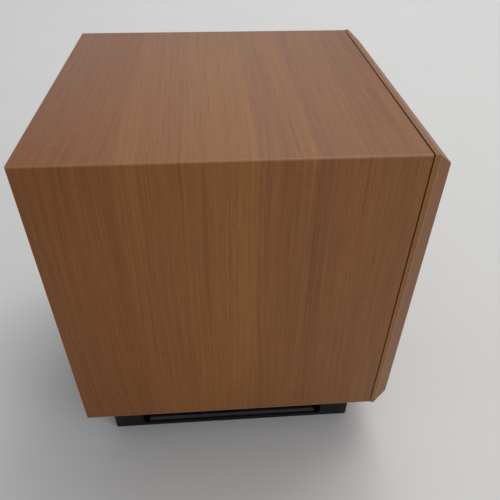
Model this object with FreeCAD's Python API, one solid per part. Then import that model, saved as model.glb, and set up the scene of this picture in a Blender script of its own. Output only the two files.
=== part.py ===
import FreeCAD, Part
import math
import os

from FreeCAD import Vector

# Compact powered subwoofer. Millimetres, +Z up, front towards -Y.
# Origin: centre of the whole object's footprint, on the floor.

# ---- cabinet -------------------------------------------------------------
cabinet_width = 320.0
cabinet_depth = 320.0          # wrap boards, front edge to rear edge
cabinet_height = 320.0
board = 18.0                   # veneered board
arris_radius = 1.2             # softened outer edges of the wrap
back_setback = 1.0             # back board sits in from the rear edges
batten_size = 14.0
brace_height = 42.0
brace_thickness = 18.0

# ---- front panel ---------------------------------------------------------
panel_thickness = 19.0
panel_edge_flat = 5.0          # square edge behind the chamfers
panel_proud = 0.5              # overhang past the wrap, all round
panel_chamfer_side = 7.5       # chamfer width across the left and right edges
panel_chamfer_top = 12.0       # chamfer width across the top and bottom edges
panel_edge_round = 0.8
shadow_gap = 1.0               # dark line between the wrap and the panel
shadow_gap_depth = 5.0
panel_screw_inset = 45.0
panel_screw_bite = 12.0        # screw length inside the panel

# ---- plinth --------------------------------------------------------------
plinth_height = 49.5
plinth_inset_side = 19.0
plinth_inset_front = 17.0
plinth_inset_rear = 22.0
plinth_board = 12.0
plinth_corner_round = 2.5
slot_post = 33.5               # solid wall at each end of a slot
slot_rail = 5.5                # wall below a slot
slot_height = 30.0
slot_corner_radius = 4.0
bead_width = 8.0
bead_height = 5.0
bead_setback = 1.6             # from the plinth's outer face
bead_end_gap = 7.4
block_counterbore = 25.0
block_counterbore_radius = 4.5

# ---- feet ----------------------------------------------------------------
foot_height = 1.5
foot_radius = 9.0

# ---- fits and clearances -------------------------------------------------
running_clearance = 0.05       # shaft in its bushing, radial
panel_clearance = 0.1          # fixed body in its panel hole, radial
moving_gap = 0.3               # moving piece beside a fixed one
thread_clearance = 0.05        # screw in its pilot hole, radial
free_hole_clearance = 0.4      # screw in its through hole, radial

# ---- screws --------------------------------------------------------------
screw_radius = 2.0
screw_head_radius = 3.8
screw_head_height = 2.4
screw_recess_length = 4.6
screw_recess_width = 1.0
screw_recess_depth = 1.4

# ---- driver, fires down through the bottom board --------------------------
cone_radius = 72.0
cone_edge_level = -0.5         # levels are above the flange's lower face
cone_neck_level = 36.0
cone_thickness = 1.2
cone_neck_thickness = 1.9      # measured upright, where the cone meets the former
surround_roll_width = 13.0     # half roll, so it hangs half as deep
surround_thickness = 0.9
surround_lip = 6.0
flange_thickness = 4.0
flange_lip_thickness = 2.0     # flange at its inner edge
flange_rim = 6.0               # bolt circle to the flange's outer edge
driver_gasket_thickness = 1.5
basket_room = 3.0              # basket to the cut-out, radial
bolt_land = 6.0                # cut-out to the bolt circle
driver_screw_count = 8
driver_screw_bite = 13.0
basket_wall = 2.5
basket_window_count = 6
basket_window_angle = 42.0
basket_window_low = 9.0
basket_window_gap = 6.0        # window to the spider's ledge
basket_window_reach = 4.0      # window cutter past the inner wall
spider_level = 44.0
spider_land_step = 10.0        # cone's edge to the spider's land, radial
spider_ledge = 8.0
spider_ledge_thickness = 2.0
spider_lip = 4.0               # flat glued to the former
spider_edge_gap = 0.5
spider_waves = 3
spider_wave_height = 0.9
spider_thickness = 0.6
dust_cap_radius = 34.0
dust_cap_rise = 9.0
dust_cap_thickness = 0.8
dust_cap_inset = 0.2           # cap's edge inside its glue line
former_radius = 25.0           # bore of the voice coil former
former_wall = 0.4
former_grip = 3.0              # former below the cone's neck
former_stand = 1.0             # former past the winding
coil_build = 0.9               # thickness of the winding
coil_length = 20.0
coil_gap = 0.6                 # winding to the top plate
pole_gap = 0.7                 # former to the pole
pole_vent_radius = 8.0
plate_step = 7.0               # spider's land to the edge of the magnet's plates, radial
top_plate_thickness = 8.0
magnet_overhang = 7.0          # magnet past its plates
magnet_bore_room = 6.7         # winding to the magnet's bore, radial
magnet_height = 20.0
magnet_edge_round = 1.5
back_plate_thickness = 8.0
back_plate_bevel = 2.0
frame_seat_level = 58.0        # where the top plate bolts to the basket
terminal_drop = 6.0            # terminals below the spider
terminal_width = 18.0
terminal_height = 14.0
terminal_thickness = 2.0
terminal_gap = 0.5             # strip to the basket
terminal_foot_width = 8.0
terminal_foot_height = 3.0
terminal_foot_reach = 1.6
tag_width = 4.8
tag_length = 6.5
tag_thickness = 0.8
tag_spacing = 10.0
tag_rise = 5.0                 # tags above the terminals' level
terminal_below_tags = 9.0
tinsel_run_in = 7.0            # first point of the route, inside the basket
tinsel_run = 6.0
tinsel_drop = 2.0              # first point below the terminals' level
tinsel_fall = 5.0
tinsel_radius = 0.7
tinsel_bend = 5.0
tinsel_spacing = 28.0
tinsel_landing = 44.0          # distance of the cone ends from the driver's axis
tinsel_landing_stand = 2.0     # lead's end above the cone
arc_share = 0.45               # most of the shorter run that a lead's bend takes up

# ---- amplifier -----------------------------------------------------------
plate_width = 172.0
plate_height = 232.0
plate_thickness = 3.0
plate_corner_radius = 5.0
plate_overlap = 10.0           # plate past the cut-out on every side
amp_gasket_thickness = 1.0
amp_screw_inset = 5.0
amp_screw_bite = 12.0

sink_side_margin = 20.0        # sink to the plate's side edges
sink_height = 72.0
sink_base = 3.0
sink_stand = 16.0              # fin tips above the plate
sink_fin_count = 17
sink_fin_thickness = 1.8
sink_margin = 13.0             # sink below the plate's upper edge

knob_radius = 8.0
knob_height = 12.0
knob_gap = 1.0                 # knob to plate
knob_skirt_height = 2.0
knob_grip_radius = 7.2
knob_flute_count = 18
knob_flute_radius = 0.6
knob_cap_height = 1.4
knob_cap_step = 0.3            # plain band inside the flutes
knob_cap_bevel = 0.8
knob_groove_width = 1.0
knob_groove_depth = 0.6
shaft_radius = 3.0
shaft_end_gap = 2.0            # shaft end to the circuit board
bushing_wall = 1.2
pot_size = 16.0
pot_depth = 9.0
control_drop = 23.0            # controls below the sink
level_knob_x = -52.0
crossover_knob_x = -14.0

switch_width = 20.0
switch_height = 9.0
switch_bezel = 1.0
switch_corner_radius = 1.5
switch_body_step_x = 6.0       # bezel past the body, both sides together
switch_body_step_y = 3.0
switch_board_gap = 1.0
switch_floor = 3.0             # floor of the cavity above the circuit board
lever_size = 4.0
lever_travel = 4.0
lever_stand = 4.0
lever_groove_pitch = 1.1
lever_groove_width = 0.5
lever_groove_depth = 0.6
phase_switch_x = 16.0
auto_switch_x = 44.0
status_lens_x = 66.0
status_lens_radius = 2.4
status_lens_tail = 4.0         # lens behind the plate

socket_shell_radius = 4.15
socket_shell_length = 9.0
socket_shell_wall = 0.6
socket_nut_radius = 6.0
socket_nut_height = 1.5
socket_insert_radius = 2.9
socket_insert_setback = 0.6
socket_pin_hole_radius = 1.6
socket_floor = 1.0             # closed end of the pin's hole
socket_box_width = 10.0
socket_box_height = 12.0
socket_spacing = 20.0
socket_count = 3
socket_drop = 40.0             # sockets below the controls
first_socket_x = -56.0

power_margin = 38.0            # power row above the plate's lower edge
inlet_x = 48.0
inlet_width = 24.0
inlet_height = 17.0
inlet_depth = 16.5
inlet_wall = 1.6
inlet_flange_lip = 3.0
inlet_flange_height = 2.0
inlet_flange_round = 2.5
inlet_corner_cut = 4.0
inlet_pin_width = 2.0
inlet_pin_height = 4.0
inlet_pin_length = 11.5
inlet_pin_pitch = 7.0
inlet_pin_drop = 1.5           # live and neutral below the inlet's centre
inlet_earth_rise = 2.5
fuse_x = 2.0
fuse_cap_radius = 5.6
fuse_cap_stand = 4.0
fuse_cap_depth = 14.0
fuse_cap_round = 0.8
fuse_slot_width = 1.2
fuse_slot_depth = 1.4
fuse_wall = 1.6
fuse_base = 1.5
fuse_flange_radius = 9.0
fuse_flange_height = 2.0
rocker_x = -50.0
rocker_half_length = 7.4
rocker_width = 11.0
rocker_window_margin = 1.1
rocker_pivot_depth = 4.0
rocker_tilt = 7.0              # degrees either side of level
rocker_wall = 1.2
rocker_body_depth = 14.0
rocker_bezel = 2.0
rocker_bezel_height = 1.6
rocker_bezel_round = 1.5
rocker_end_rise = 1.2          # ends above the bezel
rocker_dip = 0.2
rocker_side_low = 1.0          # sides start above the pivot
rocker_heel_half = 2.2
rocker_heel_depth = 3.2

board_margin = 6.0             # circuit board to the cut-out
board_height = 120.0
board_cut_gap = 1.0
board_thickness = 1.6
board_level = -34.0
transistor_width = 15.0
transistor_height = 20.0
transistor_thickness = 4.8
transistor_count = 4
transistor_pitch = 30.0
transistor_drop = 4.0          # below the sink's lower edge
transistor_lead_count = 3
transistor_lead_pitch = 5.0
transistor_lead_width = 1.2
transistor_lead_thickness = 0.8
transistor_lead_length = 4.0
transistor_lead_depth = 2.0
capacitor_radius = 12.0
capacitor_length = 34.0
capacitor_pitch = 34.0
capacitor_count = 3
capacitor_drop = 8.0           # below the circuit board's centre
capacitor_round = 1.2
toroid_radius = 46.0
toroid_bore_radius = 14.0
toroid_height = 38.0
toroid_round = 7.6
toroid_gap = 6.0               # clear of the transistors on the plate's back
toroid_margin = 4.0            # clear of the cut-out's upper edge
clamp_radius = 24.0
clamp_thickness = 2.0
clamp_bolt_radius = 3.0
clamp_head_radius = 5.4
clamp_head_height = 3.0
clamp_head_room = 1.8
clamp_nut_height = 4.0
clamp_spacer_radius = 6.0

lead_radius = 2.2
lead_bend = 9.0
lead_exit_x = 20.0
lead_board_inset = 18.0        # lead's end above the circuit board's lower edge
lead_run = 16.0                # straight out of the circuit board
lead_knee_x = 11.0
lead_knee_rise = 22.0
lead_knee_run = 28.0
lead_run_in = 14.0             # straight into the terminals

wadding_margin = 26.0
wadding_thickness = 36.0
wadding_round = 10.8
wadding_gap = 0.6

# ---- worked out from the sizes above; levels on the plate are from its centre ----
rear_stand = max(sink_stand, knob_gap + knob_height)
total_depth = (panel_thickness + cabinet_depth - back_setback + amp_gasket_thickness
               + plate_thickness + rear_stand)
y_front = -total_depth / 2
y_seam = y_front + panel_thickness
y_rear = y_seam + cabinet_depth
y_back = y_rear - back_setback
y_plate = y_back + amp_gasket_thickness + plate_thickness
y_driver = y_seam + cabinet_depth / 2
z_plinth = foot_height
z_base = foot_height + plinth_height
z_top = z_base + cabinet_height
z_flange = z_base - driver_gasket_thickness - flange_thickness
z_middle = z_base + cabinet_height / 2
half_width = cabinet_width / 2
inner_half_width = half_width - board
plinth_left_x = -half_width + plinth_inset_side
plinth_right_x = half_width - plinth_inset_side
plinth_front_y = y_seam + plinth_inset_front
plinth_rear_y = y_rear - plinth_inset_rear
block_size = slot_post - plinth_board
sink_width = plate_width - 2 * sink_side_margin
sink_level = plate_height / 2 - sink_margin - sink_height / 2
control_level = sink_level - sink_height / 2 - control_drop
socket_level = control_level - socket_drop
power_level = power_margin - plate_height / 2
board_width = plate_width - 2 * (plate_overlap + board_margin)
toroid_level = plate_height / 2 - plate_overlap - toroid_margin - toroid_radius
pcb_depth = plate_thickness + pot_depth
former_outer_radius = former_radius + former_wall
coil_outer_radius = former_outer_radius + coil_build
flange_inner_radius = cone_radius + surround_roll_width
basket_outer_radius = flange_inner_radius + surround_lip
cutout_radius = basket_outer_radius + basket_room
driver_bolt_radius = cutout_radius + bolt_land
flange_radius = driver_bolt_radius + flange_rim
spider_land_radius = cone_radius - spider_land_step
magnet_plate_radius = spider_land_radius - plate_step
magnet_radius = magnet_plate_radius + magnet_overhang
magnet_bore_radius = coil_outer_radius + magnet_bore_room
coil_middle_level = frame_seat_level + top_plate_thickness / 2


# ---- general shapes --------------------------------------------------------
def block(x0, x1, y0, y1, z0, z1):
    """Box between two corners."""
    return Part.makeBox(x1 - x0, y1 - y0, z1 - z0, Vector(x0, y0, z0))


def edges_along(shape, axis):
    """Straight edges that run along one axis (0, 1 or 2)."""
    found = []
    for edge in shape.Edges:
        start, end = edge.Vertexes[0].Point, edge.Vertexes[-1].Point
        run = end - start
        if run.Length > 0 and abs(abs(run[axis]) - run.Length) < 1e-6:
            found.append(edge)
    return found


def soft_block(x0, x1, y0, y1, z0, z1, radius, axis):
    """Box with the four edges along one axis rounded."""
    solid = block(x0, x1, y0, y1, z0, z1)
    return solid.makeFillet(radius, edges_along(solid, axis))


def prism(points, direction):
    """Closed polygon of points, extruded."""
    wire = Part.makePolygon(points + [points[0]])
    return Part.Face(wire).extrude(direction)


def turned(profile, angle=360.0):
    """Solid turned about Z from a list of (radius, level)."""
    points = [Vector(r, 0, z) for r, z in profile]
    face = Part.Face(Part.makePolygon(points + [points[0]]))
    return face.revolve(Vector(0, 0, 0), Vector(0, 0, 1), angle)


def ring(outer, inner, z0, z1):
    """Flat ring about Z."""
    solid = Part.makeCylinder(outer, z1 - z0, Vector(0, 0, z0))
    return solid.cut(Part.makeCylinder(inner, z1 - z0, Vector(0, 0, z0)))


def around(shape, count, start=0.0):
    """Copies of a shape spaced evenly about Z."""
    copies = []
    for index in range(count):
        copy = shape.copy()
        copy.rotate(Vector(0, 0, 0), Vector(0, 0, 1), start + index * 360.0 / count)
        copies.append(copy)
    return copies


def moved(shape, x, y, z):
    """Copy of a shape, shifted."""
    copy = shape.copy()
    copy.translate(Vector(x, y, z))
    return copy


def on_plate(shape, x, level):
    """Shape built with its local Z pointing out of the amplifier plate, put in place."""
    copy = shape.copy()
    copy.rotate(Vector(0, 0, 0), Vector(1, 0, 0), -90)
    copy.translate(Vector(x, y_plate, z_middle + level))
    return copy


def in_driver(shape):
    """Shape built about the driver's axis from its flange's lower face, put in place."""
    return moved(shape, 0, y_driver, z_flange)


def screw(length, recess=True):
    """Screw whose shank runs along +Z from the origin, with its head below."""
    head = Part.makeCylinder(screw_head_radius, screw_head_height, Vector(0, 0, -screw_head_height))
    head = head.makeFillet(screw_head_height / 2, [head.Edges[2]])
    solid = head.fuse(Part.makeCylinder(screw_radius, length)).removeSplitter()
    if recess:
        reach = screw_recess_length / 2
        low = -screw_head_height
        for x, y in ((reach, screw_recess_width / 2), (screw_recess_width / 2, reach)):
            solid = solid.cut(block(-x, x, -y, y, low, low + screw_recess_depth))
    return solid


def screw_towards_front(length):
    """Screw whose shank runs towards -Y."""
    solid = screw(length)
    solid.rotate(Vector(0, 0, 0), Vector(1, 0, 0), 90)
    return solid


# ---- positions shared by holes and what goes in them -----------------------
def driver_screw_places():
    step = 2 * math.pi / driver_screw_count
    places = []
    for index in range(driver_screw_count):
        angle = (index + 0.5) * step
        places.append((driver_bolt_radius * math.cos(angle), driver_bolt_radius * math.sin(angle)))
    return places


def block_corners():
    """Inner corner of each plinth corner, with the directions into the plinth."""
    x0 = plinth_left_x + plinth_board
    x1 = plinth_right_x - plinth_board
    y0 = plinth_front_y + plinth_board
    y1 = plinth_rear_y - plinth_board
    return [(x0, y0, 1, 1), (x1, y0, -1, 1), (x1, y1, -1, -1), (x0, y1, 1, -1)]


def block_centres():
    """Middle of each corner block, where its screw goes up and its foot is stuck over it."""
    inset = block_size / 2
    return [(x + sx * inset, y + sy * inset) for x, y, sx, sy in block_corners()]


def panel_screw_places():
    x = half_width - panel_screw_inset
    low = z_base + panel_screw_inset
    high = z_top - panel_screw_inset
    return [(-x, low), (x, low), (-x, high), (x, high)]


def amp_screw_places():
    """Ten screws round the plate: corners, quarter points of the sides, middle of the ends."""
    x = plate_width / 2 - amp_screw_inset
    z = plate_height / 2 - amp_screw_inset
    places = [(sx * x, sz * z) for sx in (-1, 1) for sz in (-1, -1 / 3, 1 / 3, 1)]
    return places + [(0, -z), (0, z)]


def spread(count, pitch):
    """Positions of evenly spaced pieces about zero."""
    return [(index - (count - 1) / 2) * pitch for index in range(count)]


def socket_places():
    return [first_socket_x + index * socket_spacing for index in range(socket_count)]


# ---- cabinet ---------------------------------------------------------------
def wrap_board(index):
    """One of the four mitred boards: 0 bottom, 1 right, 2 top, 3 left."""
    outer = [(-half_width, z_base), (half_width, z_base), (half_width, z_top), (-half_width, z_top)]
    inner = [(-inner_half_width, z_base + board), (inner_half_width, z_base + board),
             (inner_half_width, z_top - board), (-inner_half_width, z_top - board)]
    following = (index + 1) % 4
    corners = [outer[index], outer[following], inner[following], inner[index]]
    solid = prism([Vector(x, y_seam, z) for x, z in corners], Vector(0, cabinet_depth, 0))
    envelope = soft_block(-half_width, half_width, y_seam, y_rear, z_base, z_top, arris_radius, 1)
    return solid.common(envelope)


def bottom_board():
    solid = wrap_board(0)
    hole = Part.makeCylinder(cutout_radius, board, Vector(0, y_driver, z_base))
    solid = solid.cut(hole)
    pilot = screw_radius + thread_clearance
    for x, y in driver_screw_places():
        solid = solid.cut(Part.makeCylinder(pilot, driver_screw_bite, Vector(x, y_driver + y, z_base)))
    for x, y in block_centres():
        solid = solid.cut(Part.makeCylinder(pilot, driver_screw_bite, Vector(x, y, z_base)))
    return solid


def inner_panel(y0, y1):
    """Board that fills the wrap between two depths."""
    return block(-inner_half_width, inner_half_width, y0, y1, z_base + board, z_top - board)


def back_board():
    solid = inner_panel(y_back - board, y_back)
    x = plate_width / 2 - plate_overlap
    z = plate_height / 2 - plate_overlap
    solid = solid.cut(block(-x, x, y_back - board, y_back, z_middle - z, z_middle + z))
    for px, pz in amp_screw_places():
        pilot = Part.makeCylinder(screw_radius + thread_clearance, amp_screw_bite,
                                  Vector(px, y_back - amp_screw_bite, z_middle + pz), Vector(0, 1, 0))
        solid = solid.cut(pilot)
    return solid


def baffle_board():
    solid = inner_panel(y_seam, y_seam + board)
    for x, z in panel_screw_places():
        solid = solid.cut(Part.makeCylinder(screw_radius + free_hole_clearance, board,
                                            Vector(x, y_seam, z), Vector(0, 1, 0)))
    return solid


def front_panel():
    """Fascia with a square edge, wide chamfers and a rebate that makes the shadow gap."""
    x = half_width + panel_proud
    z0 = z_base - panel_proud
    z1 = z_top + panel_proud
    y_edge = y_seam - panel_edge_flat

    def outline(y, dx, dz):
        corners = [(-x + dx, z0 + dz), (x - dx, z0 + dz), (x - dx, z1 - dz), (-x + dx, z1 - dz)]
        points = [Vector(px, y, pz) for px, pz in corners]
        return Part.makePolygon(points + [points[0]])

    wedge = Part.makeLoft([outline(y_edge, 0, 0), outline(y_front, panel_chamfer_side, panel_chamfer_top)],
                          True, True)
    solid = wedge.fuse(block(-x, x, y_edge, y_seam, z0, z1)).removeSplitter()
    front_edges = [edge for edge in solid.Edges if edge.CenterOfMass.y < y_seam - 0.1]
    solid = solid.makeFillet(panel_edge_round, front_edges)
    rim = block(-x, x, y_seam - shadow_gap, y_seam, z0, z1)
    inset = panel_proud + shadow_gap_depth
    seat = block(-x + inset, x - inset, y_seam - shadow_gap, y_seam, z0 + inset, z1 - inset)
    solid = solid.cut(rim.cut(seat))
    for sx, sz in panel_screw_places():
        solid = solid.cut(Part.makeCylinder(screw_radius + thread_clearance, panel_screw_bite,
                                            Vector(sx, y_seam, sz), Vector(0, -1, 0)))
    return solid


def front_panel_screws():
    length = board + panel_screw_bite
    shank = screw_towards_front(length)
    return Part.makeCompound([moved(shank, x, y_seam + board, z) for x, z in panel_screw_places()])


def cross_brace():
    return block(-inner_half_width, inner_half_width, y_driver - brace_thickness / 2,
                 y_driver + brace_thickness / 2, z_middle - brace_height / 2, z_middle + brace_height / 2)


def corner_battens():
    """Glue blocks in the four inner corners of the wrap."""
    battens = []
    y0 = y_seam + board
    run = Vector(0, y_back - board - y0, 0)
    for x, sx in ((-inner_half_width, 1), (inner_half_width, -1)):
        for z, sz in ((z_base + board, 1), (z_top - board, -1)):
            points = [Vector(x, y0, z), Vector(x + sx * batten_size, y0, z),
                      Vector(x, y0, z + sz * batten_size)]
            battens.append(prism(points, run))
    return Part.makeCompound(battens)


def damping_wadding():
    """Soft pad under the top board."""
    x = inner_half_width - wadding_margin
    y0 = y_seam + board + wadding_margin
    y1 = y_plate - toroid_face() - toroid_height - wadding_margin
    z1 = z_top - board - wadding_gap
    solid = block(-x, x, y0, y1, z1 - wadding_thickness, z1)
    return solid.makeFillet(wadding_round, solid.Edges)


# ---- plinth ----------------------------------------------------------------
def slot_span(along):
    """Ends of the slot in a side that runs along X (0) or Y (1)."""
    if along == 0:
        return plinth_left_x + slot_post, plinth_right_x - slot_post
    return plinth_front_y + slot_post, plinth_rear_y - slot_post


def slot_cut(index):
    """Cutter for the slot of plinth side 0 front, 1 right, 2 rear, 3 left."""
    z0 = z_plinth + slot_rail
    z1 = z0 + slot_height
    a, b = slot_span(index % 2)
    if index == 0:
        return soft_block(a, b, plinth_front_y, plinth_front_y + plinth_board, z0, z1, slot_corner_radius, 1)
    if index == 1:
        return soft_block(plinth_right_x - plinth_board, plinth_right_x, a, b, z0, z1, slot_corner_radius, 0)
    if index == 2:
        return soft_block(a, b, plinth_rear_y - plinth_board, plinth_rear_y, z0, z1, slot_corner_radius, 1)
    return soft_block(plinth_left_x, plinth_left_x + plinth_board, a, b, z0, z1, slot_corner_radius, 0)


def plinth_side(index):
    """One mitred side of the plinth with its air slot."""
    x0, x1, y0, y1 = plinth_left_x, plinth_right_x, plinth_front_y, plinth_rear_y
    t = plinth_board
    outer = [(x0, y0), (x1, y0), (x1, y1), (x0, y1)]
    inner = [(x0 + t, y0 + t), (x1 - t, y0 + t), (x1 - t, y1 - t), (x0 + t, y1 - t)]
    following = (index + 1) % 4
    corners = [outer[index], outer[following], inner[following], inner[index]]
    solid = prism([Vector(x, y, z_plinth) for x, y in corners], Vector(0, 0, plinth_height))
    envelope = soft_block(x0, x1, y0, y1, z_plinth, z_base, plinth_corner_round, 2)
    return solid.common(envelope).cut(slot_cut(index))


def slot_beads():
    """Half-round strips lying on the lower rail of each slot."""
    r = bead_width / 2
    rise = bead_height - r
    z0 = z_plinth + slot_rail
    beads = []
    for index in range(4):
        a, b = slot_span(index % 2)
        length = b - a - 2 * bead_end_gap
        wire = Part.Wire([
            Part.makeLine(Vector(0, -r, 0), Vector(0, r, 0)),
            Part.makeLine(Vector(0, r, 0), Vector(0, r, rise)),
            Part.Arc(Vector(0, r, rise), Vector(0, 0, rise + r), Vector(0, -r, rise)).toShape(),
            Part.makeLine(Vector(0, -r, rise), Vector(0, -r, 0)),
        ])
        bead = Part.Face(wire).extrude(Vector(length, 0, 0))
        bead.translate(Vector(-length / 2, 0, 0))
        bead.rotate(Vector(0, 0, 0), Vector(0, 0, 1), 90 * (index % 2))
        offset = bead_setback + r
        middle_x = (plinth_left_x + plinth_right_x) / 2
        middle_y = (plinth_front_y + plinth_rear_y) / 2
        centre = [(middle_x, plinth_front_y + offset), (plinth_right_x - offset, middle_y),
                  (middle_x, plinth_rear_y - offset), (plinth_left_x + offset, middle_y)][index]
        beads.append(moved(bead, centre[0], centre[1], z0))
    return Part.makeCompound(beads)


def plinth_blocks():
    """Corner blocks that join the plinth sides and carry the feet."""
    shank = screw_radius + free_hole_clearance
    blocks = []
    for (x, y, sx, sy), (hx, hy) in zip(block_corners(), block_centres()):
        solid = block(min(x, x + sx * block_size), max(x, x + sx * block_size),
                      min(y, y + sy * block_size), max(y, y + sy * block_size), z_plinth, z_base)
        solid = solid.cut(Part.makeCylinder(shank, plinth_height, Vector(hx, hy, z_plinth)))
        solid = solid.cut(Part.makeCylinder(block_counterbore_radius, block_counterbore,
                                            Vector(hx, hy, z_plinth)))
        blocks.append(solid)
    return Part.makeCompound(blocks)


def plinth_screws():
    z = z_plinth + block_counterbore
    solid = screw(z_base - z + driver_screw_bite)
    return Part.makeCompound([moved(solid, x, y, z) for x, y in block_centres()])


def rubber_feet():
    pad = Part.makeCylinder(foot_radius, foot_height)
    pad = pad.makeFillet(foot_height / 3, [pad.Edges[2]])
    return Part.makeCompound([moved(pad, x, y, 0) for x, y in block_centres()])


# ---- driver ----------------------------------------------------------------
def driver_frame():
    """Pressed basket: flange, windowed cone, spider land and a seat for the magnet."""
    wall = basket_wall
    seat = frame_seat_level
    ledge_top = spider_level + spider_ledge_thickness
    ledge_inner = spider_land_radius - spider_ledge
    profile = [
        (flange_radius, 0), (flange_radius, flange_thickness), (basket_outer_radius, flange_thickness),
        (spider_land_radius + wall, ledge_top), (magnet_plate_radius + wall, seat),
        (magnet_bore_radius, seat), (magnet_bore_radius, seat - wall),
        (magnet_plate_radius, seat - wall), (spider_land_radius - wall / 2, ledge_top),
        (ledge_inner, ledge_top), (ledge_inner, spider_level), (spider_land_radius, spider_level),
        (flange_inner_radius, flange_lip_thickness), (flange_inner_radius, 0),
    ]
    solid = turned(profile)
    inside = spider_land_radius - basket_window_reach
    low, high = basket_window_low, spider_level - basket_window_gap
    window = turned([(inside, low), (flange_radius, low), (flange_radius, high), (inside, high)],
                    basket_window_angle)
    for cutter in around(window, basket_window_count, -basket_window_angle / 2):
        solid = solid.cut(cutter)
    for x, y in driver_screw_places():
        solid = solid.cut(Part.makeCylinder(screw_radius + free_hole_clearance, flange_thickness,
                                            Vector(x, y, 0)))
    return in_driver(solid)


def driver_gasket():
    solid = ring(flange_radius, cutout_radius, flange_thickness, flange_thickness + driver_gasket_thickness)
    for x, y in driver_screw_places():
        solid = solid.cut(Part.makeCylinder(screw_radius + free_hole_clearance, driver_gasket_thickness,
                                            Vector(x, y, flange_thickness)))
    return in_driver(solid)


def driver_screws():
    solid = screw(flange_thickness + driver_gasket_thickness + driver_screw_bite)
    return in_driver(Part.makeCompound([moved(solid, x, y, 0) for x, y in driver_screw_places()]))


def band(curve, thickness):
    """Face between a list of edges in the XZ plane and the same edges one thickness lower."""
    lower = [edge.copy() for edge in curve]
    for edge in lower:
        edge.translate(Vector(0, 0, -thickness))
    start = curve[0].Vertexes[0].Point
    end = curve[-1].Vertexes[-1].Point
    down = Vector(0, 0, -thickness)
    sides = [Part.makeLine(start, start + down), Part.makeLine(end, end + down)]
    wire = Part.Wire(Part.__sortEdges__(curve + lower + sides))
    return Part.Face(wire)


def arc(r0, z0, r1, z1, r2, z2):
    return Part.Arc(Vector(r0, 0, z0), Vector(r1, 0, z1), Vector(r2, 0, z2)).toShape()


def line(r0, z0, r1, z1):
    return Part.makeLine(Vector(r0, 0, z0), Vector(r1, 0, z1))


def spun(face):
    return face.revolve(Vector(0, 0, 0), Vector(0, 0, 1), 360)


def surround():
    """Half roll between the cone's edge and the flange, bulging down."""
    top = cone_edge_level - cone_thickness
    low = top - surround_thickness
    middle = (cone_radius + flange_inner_radius) / 2
    outer = surround_roll_width / 2
    inner = outer - surround_thickness
    first, last = cone_radius - surround_lip, flange_inner_radius + surround_lip
    edges = [
        line(first, top, middle - inner, top), line(middle - inner, top, middle - inner, low),
        arc(middle - inner, low, middle, low - inner, middle + inner, low),
        line(middle + inner, low, middle + inner, top), line(middle + inner, top, last, top),
        line(last, top, last, low), line(last, low, middle + outer, low),
        arc(middle + outer, low, middle, low - outer, middle - outer, low),
        line(middle - outer, low, first, low), line(first, low, first, top),
    ]
    return in_driver(spun(Part.Face(Part.Wire(edges))))


def surround_seat():
    """Card ring that fills the step between the surround's rim and the flange."""
    level = cone_edge_level - cone_thickness
    return in_driver(ring(flange_inner_radius + surround_lip, flange_inner_radius, level, 0))


def cone_height_at(radius):
    """Level of the cone's inner face where it has the given radius."""
    share = (cone_radius - radius) / (cone_radius - former_outer_radius)
    return cone_edge_level + share * (cone_neck_level - cone_edge_level)


def cone():
    """Shallow flared cone: flat glue rim, straight flank, neck on the former."""
    rim = cone_radius - surround_lip
    profile = [
        (cone_radius, cone_edge_level), (rim, cone_edge_level), (former_outer_radius, cone_neck_level),
        (former_outer_radius, cone_neck_level - cone_neck_thickness), (rim, cone_edge_level - cone_thickness),
        (cone_radius, cone_edge_level - cone_thickness),
    ]
    return in_driver(turned(profile))


def cone_lower_face(radius):
    """Level of the cone's outer (lower) face where it has the given radius."""
    rim = cone_radius - surround_lip
    low = cone_edge_level - cone_thickness
    high = cone_neck_level - cone_neck_thickness
    return low + (rim - radius) / (rim - former_outer_radius) * (high - low)


def dust_cap():
    """Domed cap glued over the coil, bulging down."""
    edge = dust_cap_radius - dust_cap_inset
    level = cone_lower_face(edge)
    sphere = (edge ** 2 + dust_cap_rise ** 2) / (2 * dust_cap_rise)
    centre = level - dust_cap_rise + sphere
    half = edge / 2
    curve = [arc(0, centre - sphere, half, centre - math.sqrt(sphere ** 2 - half ** 2), edge, level)]
    return in_driver(spun(band(curve, dust_cap_thickness)))


def coil_former():
    top = coil_middle_level + coil_length / 2 + former_stand
    return in_driver(ring(former_outer_radius, former_radius, cone_neck_level - former_grip, top))


def voice_coil():
    low = coil_middle_level - coil_length / 2
    return in_driver(ring(coil_outer_radius, former_outer_radius, low, low + coil_length))


def spider():
    """Corrugated fabric disc that centres the coil."""
    inner = former_outer_radius
    outer = spider_land_radius - spider_ledge
    pitch = (outer - inner - spider_lip) / (2 * spider_waves)
    level = spider_level
    curve = [line(inner, level, inner + spider_lip, level)]
    r = inner + spider_lip
    side = -1
    for _ in range(2 * spider_waves):
        curve.append(arc(r, level, r + pitch / 2, level + side * spider_wave_height, r + pitch, level))
        r += pitch
        side = -side
    curve.append(line(r, level, spider_land_radius - spider_edge_gap, level))
    return in_driver(spun(band(curve, spider_thickness)))


def top_plate():
    low = frame_seat_level
    return in_driver(ring(magnet_plate_radius, coil_outer_radius + coil_gap, low, low + top_plate_thickness))


def magnet():
    low = frame_seat_level + top_plate_thickness
    solid = ring(magnet_radius, magnet_bore_radius, low, low + magnet_height)
    rims = [edge for edge in solid.Edges if abs(edge.BoundBox.XLength - 2 * magnet_radius) < 0.01]
    return in_driver(solid.makeFillet(magnet_edge_round, [e for e in rims if len(e.Vertexes) == 1]))


def back_plate():
    """Back plate and vented pole in one turned piece."""
    low = frame_seat_level + top_plate_thickness + magnet_height
    pole = former_radius - pole_gap
    profile = [
        (pole_vent_radius, frame_seat_level), (pole, frame_seat_level), (pole, low),
        (magnet_plate_radius, low), (magnet_plate_radius - back_plate_bevel, low + back_plate_thickness),
        (pole_vent_radius, low + back_plate_thickness),
    ]
    return in_driver(turned(profile))


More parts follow.
